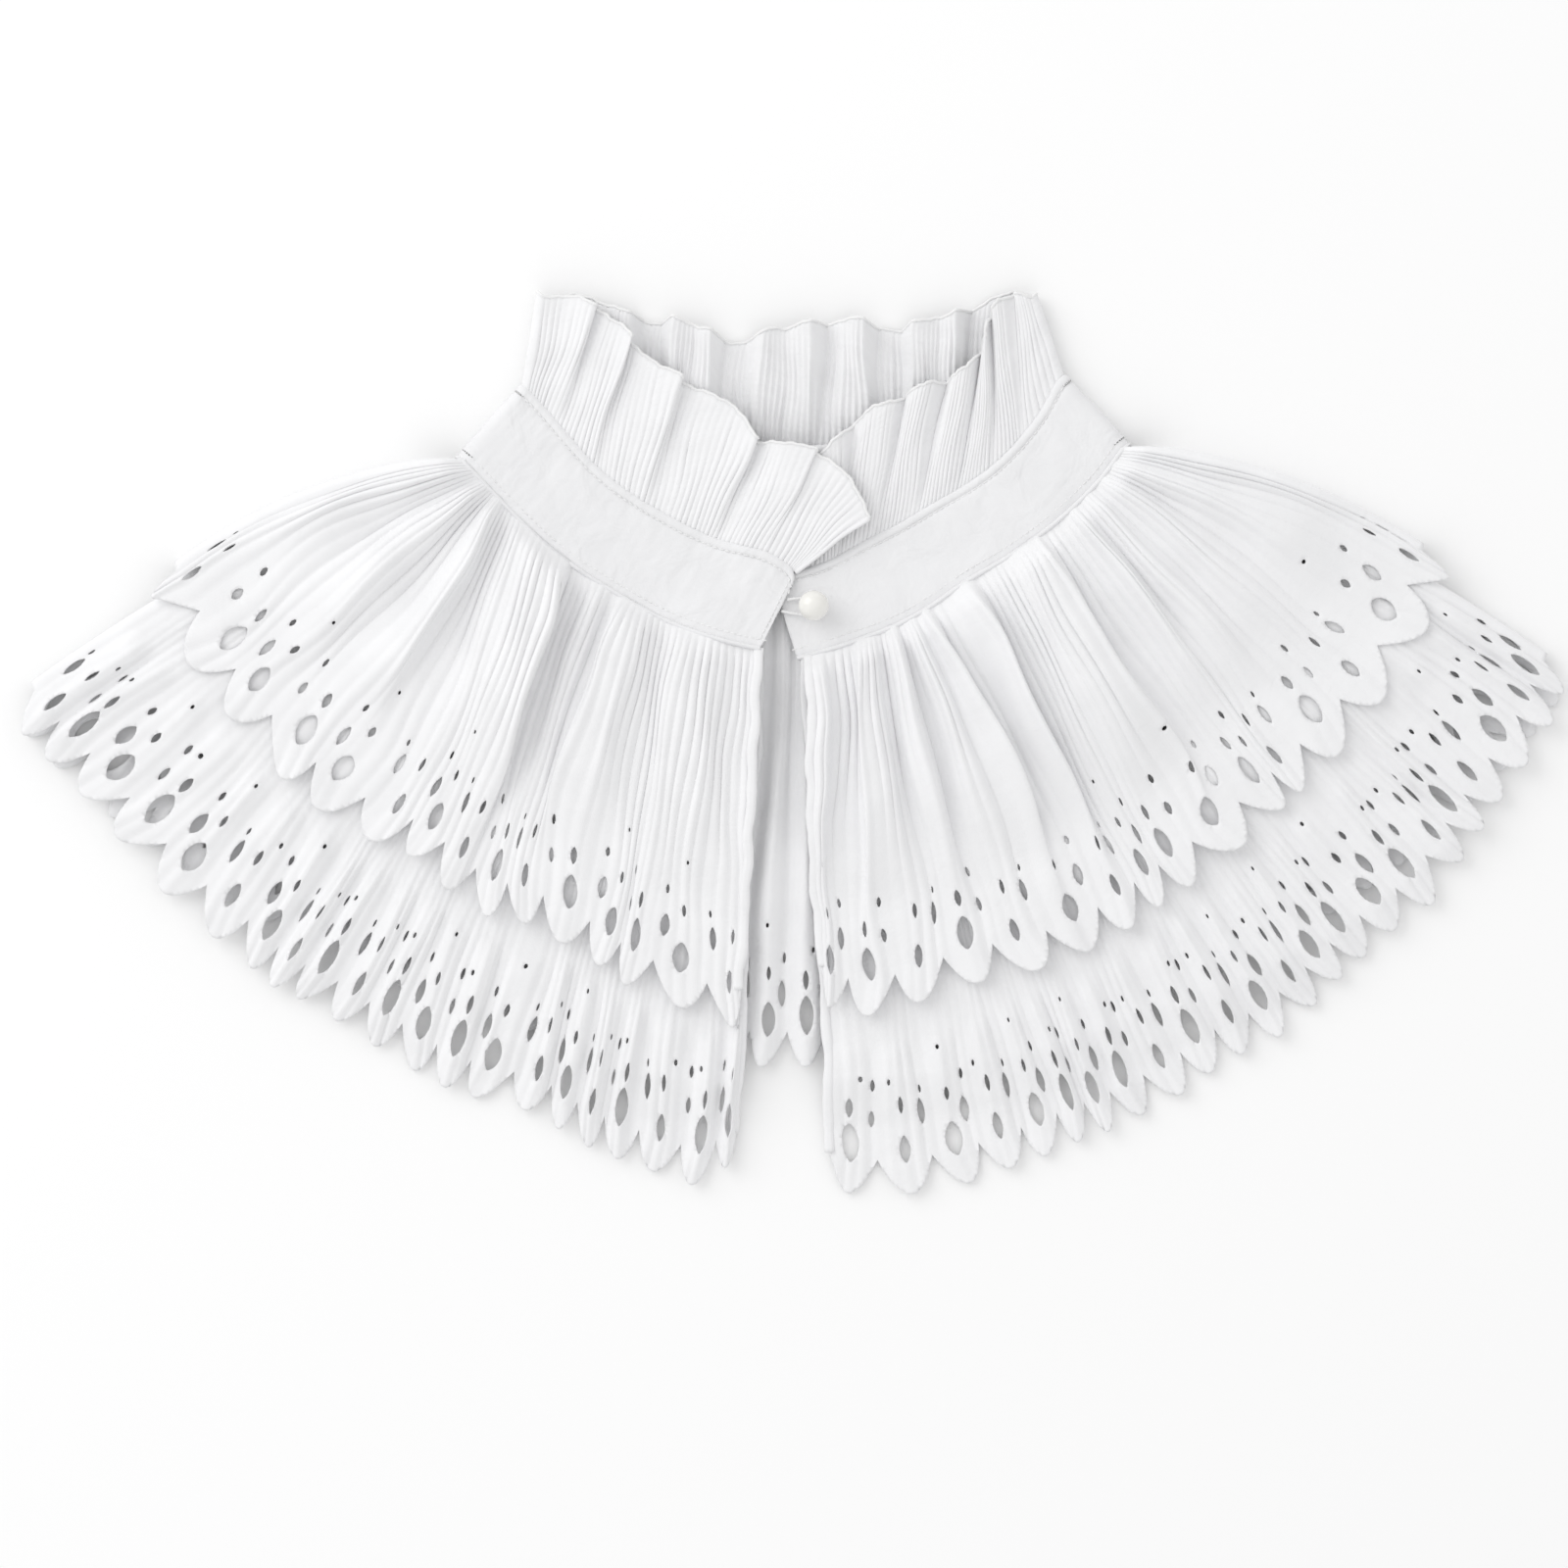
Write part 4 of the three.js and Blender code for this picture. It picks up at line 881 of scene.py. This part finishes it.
LONG_BACK = {
    "side": 1, "band": "back", "pleats": 40, "seed": 2, "folds_both": True, "grows": 0.45, "soft": 0.0004,
    "folds_from": 0.30, "pressed_seam": 0.0005, "pressed_hem": 0.0004,
    "columns": 12, "plain_rows": 14, "row_step": 0.0022,
    "lines": table("pleat seam angle reach bow", [
        (0, 0.02, -70.3, 0.2740, -0.008),
        (7, 0.11, -49.0, 0.2400, -0.002),
        (13, 0.28, -25.0, 0.2160, 0),
        (20, 0.50, 0.0, 0.2095, 0),
        (27, 0.72, 25.0, 0.2160, 0),
        (33, 0.89, 50.0, 0.2420, 0.002),
        (40, 0.98, 72.3, 0.2720, 0.008),
    ]),
    "folds": table("pleat seam middle hem lean", [
        (0, 0, 0, 0, 0), (18.2, 0, 0, 0, 0), (18.9, 0, 0.0030, 0.0012, 0), (19.4, 0, 0.0064, 0.0028, 0),
        (19.9, 0, 0.0030, 0.0010, 0), (20.4, 0, 0.0060, 0.0026, 0), (21.0, 0, 0.0020, 0.0010, 0),
        (21.8, 0, 0, 0, 0), (40, 0, 0, 0, 0),
    ]),
    "base": lambda place, along: BACK_LOWER_LIFT * over_back_upper(place) + 0.0005,
    "meets": lambda place: BACK_LOWER_LIFT * over_back_upper(place) + 0.0022,
}
long_back_tier = tier_mesh("long_back_tier", LONG_BACK)
finish_piece(long_back_tier, pleat_cotton, ["lower_tier_back"])


# Long front tiers: gathered into the band's lower edge under the short ones, and open at the centre front.
# They lie on the back tiers and drop past the back hem. Each free front edge is rolled to a rib 3 mm wide.
FRONT_LIFT = 0.0036
WALL_MIDDLE = 0.00065
HEM_DROP_START, HEM_DROP_LENGTH = 0.005, 0.015


def over_back_lower(place):
    """1 where the long back tier lies under a place, and down to 0 past its hem."""
    return 1 - np.clip((past_hem(LONG_BACK["lines"], place) - HEM_DROP_START) / HEM_DROP_LENGTH, 0, 1)


def front_base(place, along):
    """How high the long front tiers lie over the back ones."""
    return BACK_LOWER_LIFT * over_back_upper(place) + FRONT_LIFT * over_back_lower(place) + WALL_MIDDLE


def tips(first, middles, last):
    """Where each scallop's tip lies round the fan, from the front: its angle in degrees and reach in mm."""
    rows = [(0, *first)] + [(k + 0.5, *tip) for k, tip in enumerate(middles)] + [(len(middles), *last)]
    found = table("pleat angle reach", rows)
    found["reach"] = found["reach"] * 0.001
    return found


LONG_FRONT = {
    "open_ripple": 0.0008, "covered": 1, "soft": 0.0011, "edge_sway": 0.0010, "tip_lift": 1,
    "pressed_seam": 0.0006, "pressed_hem": 0.00065, "columns": 16, "plain_rows": 16, "row_step": 0.0017,
    "base": front_base,
    "meets": lambda place: BACK_LOWER_LIFT * over_back_upper(place) + 0.0026,
}
LONG_LEFT = {
    **LONG_FRONT, "side": -1, "band": "left", "pleats": 21, "seed": 3,
    "lines": table("pleat seam angle reach bow", [
        (0, 0.00, 4.2, 0.2435, 0),
        (1.5, 0.05, 6.9, 0.2500, 0),
        (4.5, 0.22, 16.0, 0.2447, 0),
        (6.5, 0.31, 20.8, 0.2405, 0.001),
        (9.5, 0.47, 30.9, 0.2443, 0.001),
        (12.5, 0.66, 40.4, 0.2470, -0.002),
        (15.5, 0.81, 49.3, 0.2530, -0.001),
        (18.5, 0.91, 62.5, 0.2620, 0.003),
        (21, 0.97, 70.3, 0.2740, 0.008),
    ]),
    "tips": tips((4.2, 243.5), [
        (4.8, 243.5), (6.9, 250.5), (10.1, 248.3), (13.5, 246.2), (16, 244.7), (18.4, 242), (20.8, 239.9),
        (24.8, 242.7), (27.8, 244.1), (30.9, 244.3), (34.3, 244.3), (37.3, 244.8), (40.4, 246.5),
        (42.9, 249.8), (45.5, 250.3), (49.3, 252.7), (53.6, 255.9), (58.2, 258), (62.5, 261.4),
        (66.4, 267.4), (68.8, 271.5),
    ], (70.3, 274)),
}
LONG_RIGHT = {
    **LONG_FRONT, "side": 1, "band": "right", "pleats": 23, "seed": 4,
    "lines": table("pleat seam angle reach bow", [
        (0, 0.02, 3.4, 0.2500, 0),
        (2.6, 0.20, 13.1, 0.2550, 0),
        (6.3, 0.31, 24.7, 0.2540, 0),
        (10.5, 0.54, 36.7, 0.2546, 0),
        (14.6, 0.69, 47.8, 0.2575, -0.002),
        (16.7, 0.85, 54.2, 0.2635, -0.001),
        (18.8, 0.90, 60.5, 0.2640, 0.001),
        (20.9, 0.94, 67.0, 0.2685, 0.005),
        (23, 0.97, 72.3, 0.2720, 0.008),
    ]),
    "tips": tips((3.4, 250), [
        (4.9, 252.5), (9.1, 254.8), (13.1, 255.2), (16.7, 254), (20, 253.7), (22.7, 253.2), (24.7, 254),
        (27.1, 253.9), (30.4, 254.4), (33.7, 253.6), (36.7, 254.6), (39.4, 257.5), (42.4, 257.2),
        (45, 256.5), (47.8, 257.5), (51.2, 259.6), (54.2, 264), (57.5, 263.7), (59.9, 263.8),
        (62.6, 264.8), (66.2, 267.5), (69.5, 269.8), (71.4, 269.7),
    ], (72.3, 272)),
}
ROLL_RADIUS = 0.0017
ROLL_FLATTEN = 0.5
ROLL_SWAY = 0.0008
ROLL_LIFT = 0.0003
ROLL_POINTS = 90


def front_roll(name, panel):
    """The rolled rib down a free front edge, a little uneven as rolled hems are."""
    along = np.linspace(0.005, 1, ROLL_POINTS)
    _, _, length, _ = pleat_place(panel, np.zeros(1), np.ones(1))
    along = along * (1 - SCALLOP_DEPTH / length[0])
    path, _, _, _ = cloth_point(panel, np.full(len(along), 0.0), along)
    radius = ROLL_RADIUS * (1 + 0.12 * wander(along * 40, along, panel["seed"]))
    sway = ROLL_SWAY * wander(along * 9, along * 5, panel["seed"] + 2)
    path[:, 0] += panel["side"] * (ROLL_RADIUS * 0.4 + sway)
    path[:, 2] += ROLL_LIFT
    return tube(name, path, radius, sides=10, flatten=ROLL_FLATTEN)


def front_tier(name, panel, node):
    """One front length of a tier with its rolled edge, laid on the piece under it."""
    tier = finish_piece(tier_mesh(name, panel), pleat_cotton, [node])
    roll = finish_piece(front_roll(name + "_rolled_edge", panel), pleat_cotton)


front_tier("long_front_tier_left", LONG_LEFT, "lower_tier_front_left")
front_tier("long_front_tier_right", LONG_RIGHT, "lower_tier_front_right")


# Short front tiers: the top layer, gathered into the same seam. Their pleats gather into large soft folds,
# some with a knife edge that leans over the valley beside it, and they fade into the scallops of the hem.
FRONT_UPPER_LIFT = 0.0036
SEAM_SETTLE = 0.0012
HEM_SINK = 0.0023
FOLD_SCALE, HEM_FOLD_SCALE = 0.0021, 0.0005


def top_base(place, along):
    """How high the short front tiers lie, settled at the seam and sunk between folds at the hem."""
    settled = SEAM_SETTLE * (1 - np.clip(along / 0.12, 0, 1))
    sunk = HEM_SINK * ease((along - 0.5) / 0.25)
    return BACK_LOWER_LIFT + FRONT_LIFT + FRONT_UPPER_LIFT - settled - sunk + WALL_MIDDLE


def folds(rows):
    """Crests and valleys by pleat: rise at the seam, half way and at the hem before the scale, and lean in
    pleats."""
    found = table("pleat seam middle hem lean", rows)
    for column in ("seam", "middle", "hem"):
        found[column] = found[column] * (HEM_FOLD_SCALE if column == "hem" else FOLD_SCALE)
    return found


SHORT_FRONT = {
    "over_folds": 0.42, "joins": 0.0086, "soft": 0.0008, "edge_sway": 0.0013, "tip_lift": 0.4,
    "pressed_seam": 0.0008, "pressed_hem": 0.0005, "eyelets": 0.85, "columns": 24, "plain_rows": 30,
    "row_step": 0.0017, "base": top_base,
    "meets": lambda place: np.full(len(place), 0.0049),
}
SHORT_LEFT = {
    **SHORT_FRONT, "side": -1, "band": "left", "pleats": 15, "seed": 5, "lapped": 0.8,
    "lines": table("pleat seam angle reach bow", [
        (0, 0.00, 4.6, 0.1960, 0),
        (3, 0.25, 17.6, 0.1895, 0),
        (5.5, 0.44, 28.8, 0.1845, 0.003),
        (7.3, 0.60, 36.3, 0.1875, -0.0015),
        (10.2, 0.83, 50.5, 0.1980, -0.004),
        (12.5, 0.91, 64.0, 0.2075, 0.002),
        (15, 1.00, 75.8, 0.2170, 0.009),
    ]),
    "tips": tips((4.6, 196), [
        (5.7, 197), (11.2, 192.3), (16.1, 190), (19, 186.7), (23.7, 184), (28.8, 183.7), (32.3, 188),
        (36.9, 187.7), (41.1, 186.7), (45, 191.5), (51.8, 199), (56.5, 202.4), (63.3, 206.7), (68, 210.7),
        (75.0, 215.5),
    ], (75.8, 217)),
    "folds": folds([
        (0, 1.5, 1.5, 1.0, 0), (0.6, 0.5, 0.5, 0.6, 0), (1.5, 2.0, 2.0, 1.0, 0),
        (2.6, 3.0, 2.5, 1.5, 0.1), (3.4, 0.8, 0.8, 0.8, 0), (4.4, 3.5, 3.5, 2.0, 0),
        (5.1, 4.0, 4.5, 2.5, 0.2), (5.5, 0.5, 0.5, 1.0, 0), (6.0, 3.0, 2.5, 2.0, 0),
        (6.5, 0.5, 0.2, 0.5, 0), (7.15, 0.0, 0.0, 0.3, 0.05), (7.35, 5.5, 6.0, 4.0, -0.3),
        (8.2, 5.0, 5.5, 3.5, -0.1), (9.2, 3.0, 3.5, 2.5, 0), (10.0, 0.5, 0.5, 0.8, 0),
        (10.4, 0.5, 0.3, 0.8, 0), (11.0, 4.0, 4.5, 3.0, -0.2), (11.8, 1.5, 1.0, 1.0, 0),
        (12.6, 3.5, 4.0, 2.5, -0.1), (13.4, 1.2, 1.2, 1.2, 0), (14.2, 3.0, 3.0, 2.0, 0),
        (15, 2.0, 2.0, 1.5, 0),
    ]),
}
SHORT_RIGHT = {
    **SHORT_FRONT, "side": 1, "band": "right", "pleats": 16, "seed": 6, "lapped": 0,
    "lines": table("pleat seam angle reach bow", [
        (0, 0.02, 3.6, 0.1880, 0),
        (1.5, 0.15, 8.5, 0.1940, 0),
        (3.6, 0.26, 18.8, 0.1920, 0),
        (5.5, 0.36, 29.0, 0.1975, 0.001),
        (6.8, 0.50, 36.2, 0.1985, 0),
        (9.5, 0.69, 46.5, 0.2020, -0.002),
        (11, 0.80, 54.0, 0.2060, -0.002),
        (13.5, 0.92, 66.5, 0.2150, 0.003),
        (16, 1.00, 78.0, 0.2235, 0.008),
    ]),
    "tips": tips((3.2, 188), [
        (4.1, 190), (8.5, 194.4), (13.5, 192.7), (18.6, 191.9), (24, 195), (30, 197.8), (35, 198.6),
        (38.5, 198.7), (41.4, 199.9), (46.5, 202), (52.5, 204.8), (55.4, 206.7), (60.5, 211),
        (65.8, 214.9), (72, 219.6), (77.2, 222.3),
    ], (78, 223.5)),
    "folds": folds([
        (0, 2.0, 2.0, 1.5, 0), (0.35, 2.5, 2.5, 1.5, 0.1), (0.8, 0.3, 0.3, 0.5, 0),
        (1.45, 0.0, 0.0, 0.3, 0.05), (1.75, 4.0, 4.5, 2.5, -0.15), (2.4, 2.5, 3.0, 2.0, 0),
        (2.9, 0.5, 0.5, 0.8, 0), (3.3, 2.2, 3.0, 2.0, 0), (3.6, 4.0, 4.5, 3.0, 0.1),
        (3.9, 1.0, 0.8, 1.0, 0), (4.6, 3.0, 3.0, 2.0, 0), (5.0, 1.5, 2.0, 1.5, 0),
        (5.35, 4.0, 4.5, 3.0, 0.25), (5.6, 0.5, 0.0, 0.5, 0), (6.0, 1.0, 1.0, 1.0, 0),
        (6.55, 4.0, 4.5, 3.0, 0.2), (6.8, 0.0, 0.0, 0.2, 0), (7.1, 0.5, 0.5, 0.5, 0),
        (8.0, 2.5, 2.5, 2.0, 0), (9.2, 5.0, 5.5, 3.0, 0.05), (9.5, 4.5, 5.0, 3.0, 0.25),
        (9.75, 0.5, 0.3, 0.5, 0), (10.3, 0.0, 0.2, 0.5, 0), (10.8, 1.0, 2.0, 1.5, 0),
        (11.1, 3.0, 4.0, 3.0, 0.15), (11.5, 1.0, 0.8, 1.0, 0), (12.1, 3.0, 3.5, 2.5, 0),
        (12.6, 0.8, 0.8, 0.8, 0), (13.3, 3.0, 3.5, 2.0, 0), (13.9, 1.0, 1.0, 1.0, 0),
        (14.6, 3.0, 3.0, 2.0, 0), (15.3, 1.2, 1.2, 1.2, 0), (16, 2.0, 2.0, 1.5, 0),
    ]),
}
front_tier(
    "short_front_tier_left", SHORT_LEFT, "upper_tier_front_left",
)
front_tier(
    "short_front_tier_right", SHORT_RIGHT, "upper_tier_front_right",
)


# Neck ruffle: a strip of the same pleated cotton, 40 mm high, gathered into the band's top edge.
# It flares into flutes, folded flat front on back, and its lip is overlocked, which makes the edge wave.
RUFFLE_LEFT = table("foot lipX lipY", [
    (0.01, 0.0269, 0.0731), (0.05, 0.0208, 0.0860), (0.16, 0.0095, 0.0953), (0.23, -0.0011, 0.0979),
    (0.29, -0.0102, 0.0995), (0.34, -0.0179, 0.1102), (0.40, -0.0295, 0.1163), (0.47, -0.0398, 0.1221),
    (0.55, -0.0495, 0.1292), (0.63, -0.0537, 0.1356), (0.73, -0.0611, 0.1415), (0.85, -0.0695, 0.1463),
    (1.00, -0.0803, 0.1468),
])
RUFFLE_BACK = table("foot lipX lipY", [
    (0.00, -0.0803, 0.1468), (0.13, -0.0689, 0.1473), (0.23, -0.0544, 0.1411), (0.32, -0.0366, 0.1376),
    (0.41, -0.0189, 0.1324), (0.49, -0.0005, 0.1353), (0.58, 0.0189, 0.1379), (0.67, 0.0376, 0.1366),
    (0.75, 0.0553, 0.1402), (0.83, 0.0731, 0.1482), (1.00, 0.0801, 0.1466),
])
RUFFLE_RIGHT = table("foot lipX lipY", [
    (0.02, -0.0044, 0.0827), (0.07, 0.0037, 0.0892), (0.13, 0.0134, 0.0963), (0.18, 0.0247, 0.1073),
    (0.25, 0.0350, 0.1118), (0.34, 0.0424, 0.1156), (0.43, 0.0511, 0.1185), (0.51, 0.0582, 0.1221),
    (0.60, 0.0644, 0.1305), (0.68, 0.0660, 0.1376), (0.77, 0.0685, 0.1434), (0.84, 0.0747, 0.1477),
    (1.00, 0.0801, 0.1466),
])
RUFFLE_HEIGHT = 0.040
RUFFLE_TUCK = 0.0007
END_HEM_RADIUS = 0.0007
RUFFLE_ROWS = 24
RUFFLE_PLEATS = {"left": 66, "back": 96, "right": 66}
RUFFLE_FINE = {"left": 0.00034, "back": 0.00055, "right": 0.00036}
RUFFLE_LIP = {"left": 0.0058, "right": 0.0054, "back": 0.0010}
LAPPED_LIP = 0.0050
FINE_COLUMNS = 6


def lobes(*edges):
    """The ruffle's large lobes by where each ends along the strip. A lobe rises to its end, which stands over
    the start of the lobe before it, and sways that way. rise and sway are in mm."""
    rows = [(0, 2.2, 0)]
    for i, (edge, rise) in enumerate(edges[:-1]):
        before = rows[-1][0]
        rows.append((before + (edge - before) * 0.30, rise * 0.62, 0.3))
        rows.append((before + (edge - before) * 0.62, rise * 0.40, 0.5))
        rows.append((edge - 0.016, 0.2, 1.3))
        rows.append((edge + 0.012, rise, -1.6))
    last, rise = edges[-1]
    rows.append((rows[-1][0] * 0.4 + last * 0.6, rise * 0.5, 0.2))
    rows.append((last, rise, 0))
    return table("at rise sway", rows)


def puffs(*edges):
    """Large lobes by where each ends, standing evenly between narrow valleys. rise and sway are in mm."""
    rows, before = [(0, 1.0, 0)], 0
    for edge, rise in edges:
        width = edge - before
        rows += [(before + width * 0.3, rise * 0.85, 0.3), (before + width * 0.66, rise, -0.6)]
        rows.append((edge - 0.012, rise * 0.75, -1.2) if edge < 1 else (edge, 1.0, 0))
        if edge < 1:
            rows.append((edge + 0.004, 0.0, 0.8))
        before = edge
    return table("at rise sway", rows)


RUFFLE_LOBES = {
    "left": lobes((0.17, 3.0), (0.335, 5.5), (0.545, 5.2), (0.715, 5.4), (0.86, 4.6), (1.0, 1.5)),
    "back": table("at rise sway", [
        (0, 1.0, 0), (0.10, 2.0, 0), (0.18, 5.0, 0), (0.22, 6.2, -1.5), (0.235, 0.2, 1.0),
        (0.27, 0.2, 0.5), (0.285, 8.1, 1.5), (0.33, 6.2, 0), (0.37, 8.1, -1.5), (0.385, 0.2, 1.0),
        (0.43, 0.2, 0), (0.45, 7.5, 1.5), (0.50, 5.0, 0), (0.55, 8.8, -1.6), (0.565, 1.5, 1.0),
        (0.60, 6.2, 0), (0.64, 8.1, -1.5), (0.655, 0.2, 1.0), (0.70, 0.2, 0), (0.715, 6.9, 1.5),
        (0.77, 5.0, 0), (0.81, 7.5, -1.5), (0.825, 0.5, 1.0), (0.88, 2.0, 0), (1, 1.0, 0),
    ]),
    "right": puffs(
        (0.12, 3.4), (0.22, 4.8), (0.36, 4.6), (0.50, 5.4), (0.64, 5.0), (0.77, 5.2), (0.89, 4.2), (1.0, 1.5),
    ),
}


def ruffle_strip(part, rows, foot_z, facing):
    """One part of the ruffle as (lip, seam, facing) along its strip."""
    count = RUFFLE_PLEATS[part] * FINE_COLUMNS + 1
    t = np.linspace(0, 1, count)
    numbered = {"row": np.arange(len(rows["foot"]), dtype=float), "foot": rows["foot"]}
    foot = read(numbered, "row", "foot", t * (len(rows["foot"]) - 1))
    raised = lap(foot) / LAP_RISE if part == "left" else 0 * foot
    rise = read(RUFFLE_LOBES[part], "at", "rise", t) * 0.001
    lip_z = RUFFLE_LIP[part] + raised * LAPPED_LIP + rise
    lip = smooth_line(np.column_stack([rows["lipX"], rows["lipY"]]), t)
    along = unit(np.gradient(lip, axis=0))
    sway = read(RUFFLE_LOBES[part], "at", "sway", t) * 0.001
    low_edge = band_edge(part, "top", foot)
    below = band_edge(part, "low", foot)
    up = unit(low_edge - below)
    lip = lip + along * sway[:, None] + up * (0.30 * (rise - 0.0025) + 0.0005 * wander(t * 60, t, 4))[:, None]
    seam = low_edge - up * RUFFLE_TUCK
    lift = lap(foot) if part == "left" else 0 * foot
    return with_height(lip, lip_z), with_height(seam, foot_z + lift), np.tile([0, 0, facing], (count, 1))


def ruffle_mesh():
    strips = [
        ruffle_strip("left", RUFFLE_LEFT, FRONT_BAND_TOP_Z, 1),
        ruffle_strip("back", RUFFLE_BACK, BACK_BAND_Z, -1),
        ruffle_strip("right", RUFFLE_RIGHT, FRONT_BAND_TOP_Z, 1),
    ]
    crests = []
    for part, strip in zip(("left", "back", "right"), strips):
        ridge = np.arange(len(strip[0])) / FINE_COLUMNS
        tall = 0.85 + 0.30 * np.sin(np.floor(ridge + 0.5) * 2.4)
        crests.append((np.abs(np.cos(math.pi * ridge)) - 0.5) * tall * 2 * RUFFLE_FINE[part])
    turn = np.full(TURN_STEPS, 0.0002)
    crest = np.concatenate([crests[0], turn, crests[1], turn, crests[2][::-1]])
    upper, lower, facing = round_the_neck(*strips)
    count = len(upper)
    run = length_along(lower)
    lip_run = length_along(upper)
    onward = unit(np.gradient(lower, axis=0))
    corners, uv = [], []
    for j in range(RUFFLE_ROWS + 1):
        share = j / RUFFLE_ROWS
        middle = lower + (upper - lower) * share
        middle[:, 2] = lower[:, 2] + (upper[:, 2] - lower[:, 2]) * share**0.75
        height = (1 - 0.75 * share**4) * (0.80 + 0.55 * wander(run * 240, share * 3, 17))
        strayed = 0.0016 * math.sin(math.pi * share) * wander(run * 70, share * 2.2, 23)
        corners.append(middle + onward * strayed[:, None] + facing * (height * crest)[:, None])
        uv.append(np.column_stack([run + (lip_run - run) * share, np.full(count, share * RUFFLE_HEIGHT)]))
    corners, uv = np.stack(corners, 1), np.stack(uv, 1)
    faces = grid_faces(count, RUFFLE_ROWS + 1).tolist()
    piece = new_piece("pleated_neck_ruffle", corners.reshape(-1, 3), faces, uv.reshape(-1, 2))
    give_thickness(piece, CLOTH)
    return piece, upper, facing, corners[0]


pleated_ruffle, lip_line, lip_facing, left_end = ruffle_mesh()
finish_piece(pleated_ruffle, pleat_cotton, ["neck_ruffle"])
OVERLOCK_RADIUS = 0.00055
wrap = 1 + 0.16 * np.sin(np.arange(len(lip_line)) * 2.4)
overlock = tube("ruffle_overlock", lip_line, OVERLOCK_RADIUS * wrap, sides=6, up=lip_facing)
finish_piece(overlock, thread_white)
end_hem = tube("ruffle_end_hem", left_end, END_HEM_RADIUS, sides=6)
finish_piece(end_hem, pleat_cotton)


# Pearl button: a round pearl, a little flat, with a soft lustre. It stands on a short thread shank that is
# sewn to the band's right end, just past the edge of the left end that laps over it.
PEARL_RADIUS = 0.0050
PEARL_FLATTEN = 0.97
pearl_x, pearl_y = (pearl_low.x + pearl_high.x) / 2, (pearl_low.y + pearl_high.y) / 2
pearl_z = pearl_high.z - PEARL_RADIUS
bpy.ops.object.select_all(action="DESELECT")
bpy.ops.mesh.primitive_uv_sphere_add(segments=48, ring_count=24, radius=PEARL_RADIUS, location=(0, 0, 0))
pearl = bpy.context.object
pearl.name = "round_pearl_button"
for vert in pearl.data.vertices:
    vert.co.z *= PEARL_FLATTEN
    vert.co.x += pearl_x
    vert.co.y += pearl_y
    vert.co.z += pearl_z
pearl.data.shade_smooth()
pearl_finish = new_finish("pearl", {
    "Roughness": 0.22, "Coat Weight": 0.6, "Coat Roughness": 0.08, "Subsurface Weight": 0.15,
    "Subsurface Radius": (0.002, 0.002, 0.002),
})
nodes, links = pearl_finish.node_tree.nodes, pearl_finish.node_tree.links
spot = nodes.new("ShaderNodeTexCoord")
cloud = nodes.new("ShaderNodeTexNoise")
cloud.inputs["Scale"].default_value = 180
links.new(spot.outputs["Object"], cloud.inputs["Vector"])
lustre = nodes.new("ShaderNodeValToRGB")
lustre.color_ramp.elements[0].color = (0.76, 0.75, 0.71, 1)
lustre.color_ramp.elements[1].color = (0.90, 0.89, 0.86, 1)
links.new(cloud.outputs["Fac"], lustre.inputs["Fac"])
links.new(lustre.outputs["Color"], nodes["Principled BSDF"].inputs["Base Color"])
finish_piece(pearl, pearl_finish, ["pearl_button"])

SHANK_RADIUS = 0.0012
SHANK_POINTS = 6
shank_z = np.linspace(pearl_low.z, pearl_z - PEARL_RADIUS * 0.9, SHANK_POINTS)
shank_path = np.array([[*PEARL_MEASURED, z] for z in shank_z])
shank = tube("pearl_shank", shank_path, SHANK_RADIUS, sides=12, up=np.tile([0, 1.0, 0], (SHANK_POINTS, 1)))
finish_piece(shank, thread_white)


# Button loop: a chain of white thread, sewn to the band's left end and uneven like a crocheted chain.
# It goes from that end round the pearl's shank and back, under the pearl.
LOOP_Z = 0.00975
LOOP_POINTS = 90
LOOP_RADIUS = 0.00045
LOOP_LINE = table("x y", [
    (-0.0086, 0.0022), (-0.0045, 0.0026), (0, 0.0026), (0.0026, 0), (0, -0.0026), (-0.0050, -0.0026),
    (-0.0106, -0.0016),
])
loop_path = smooth_line(np.column_stack([LOOP_LINE["x"], LOOP_LINE["y"]]), np.linspace(0, 1, LOOP_POINTS))
loop_path = with_height(loop_path + np.array(PEARL_MEASURED), LOOP_Z)
twist = 1 + 0.18 * np.sin(np.arange(LOOP_POINTS) * 1.6)
thread_loop = tube("thread_button_loop", loop_path, LOOP_RADIUS * twist, sides=8)
finish_piece(thread_loop, thread_white, ["button_loop"])
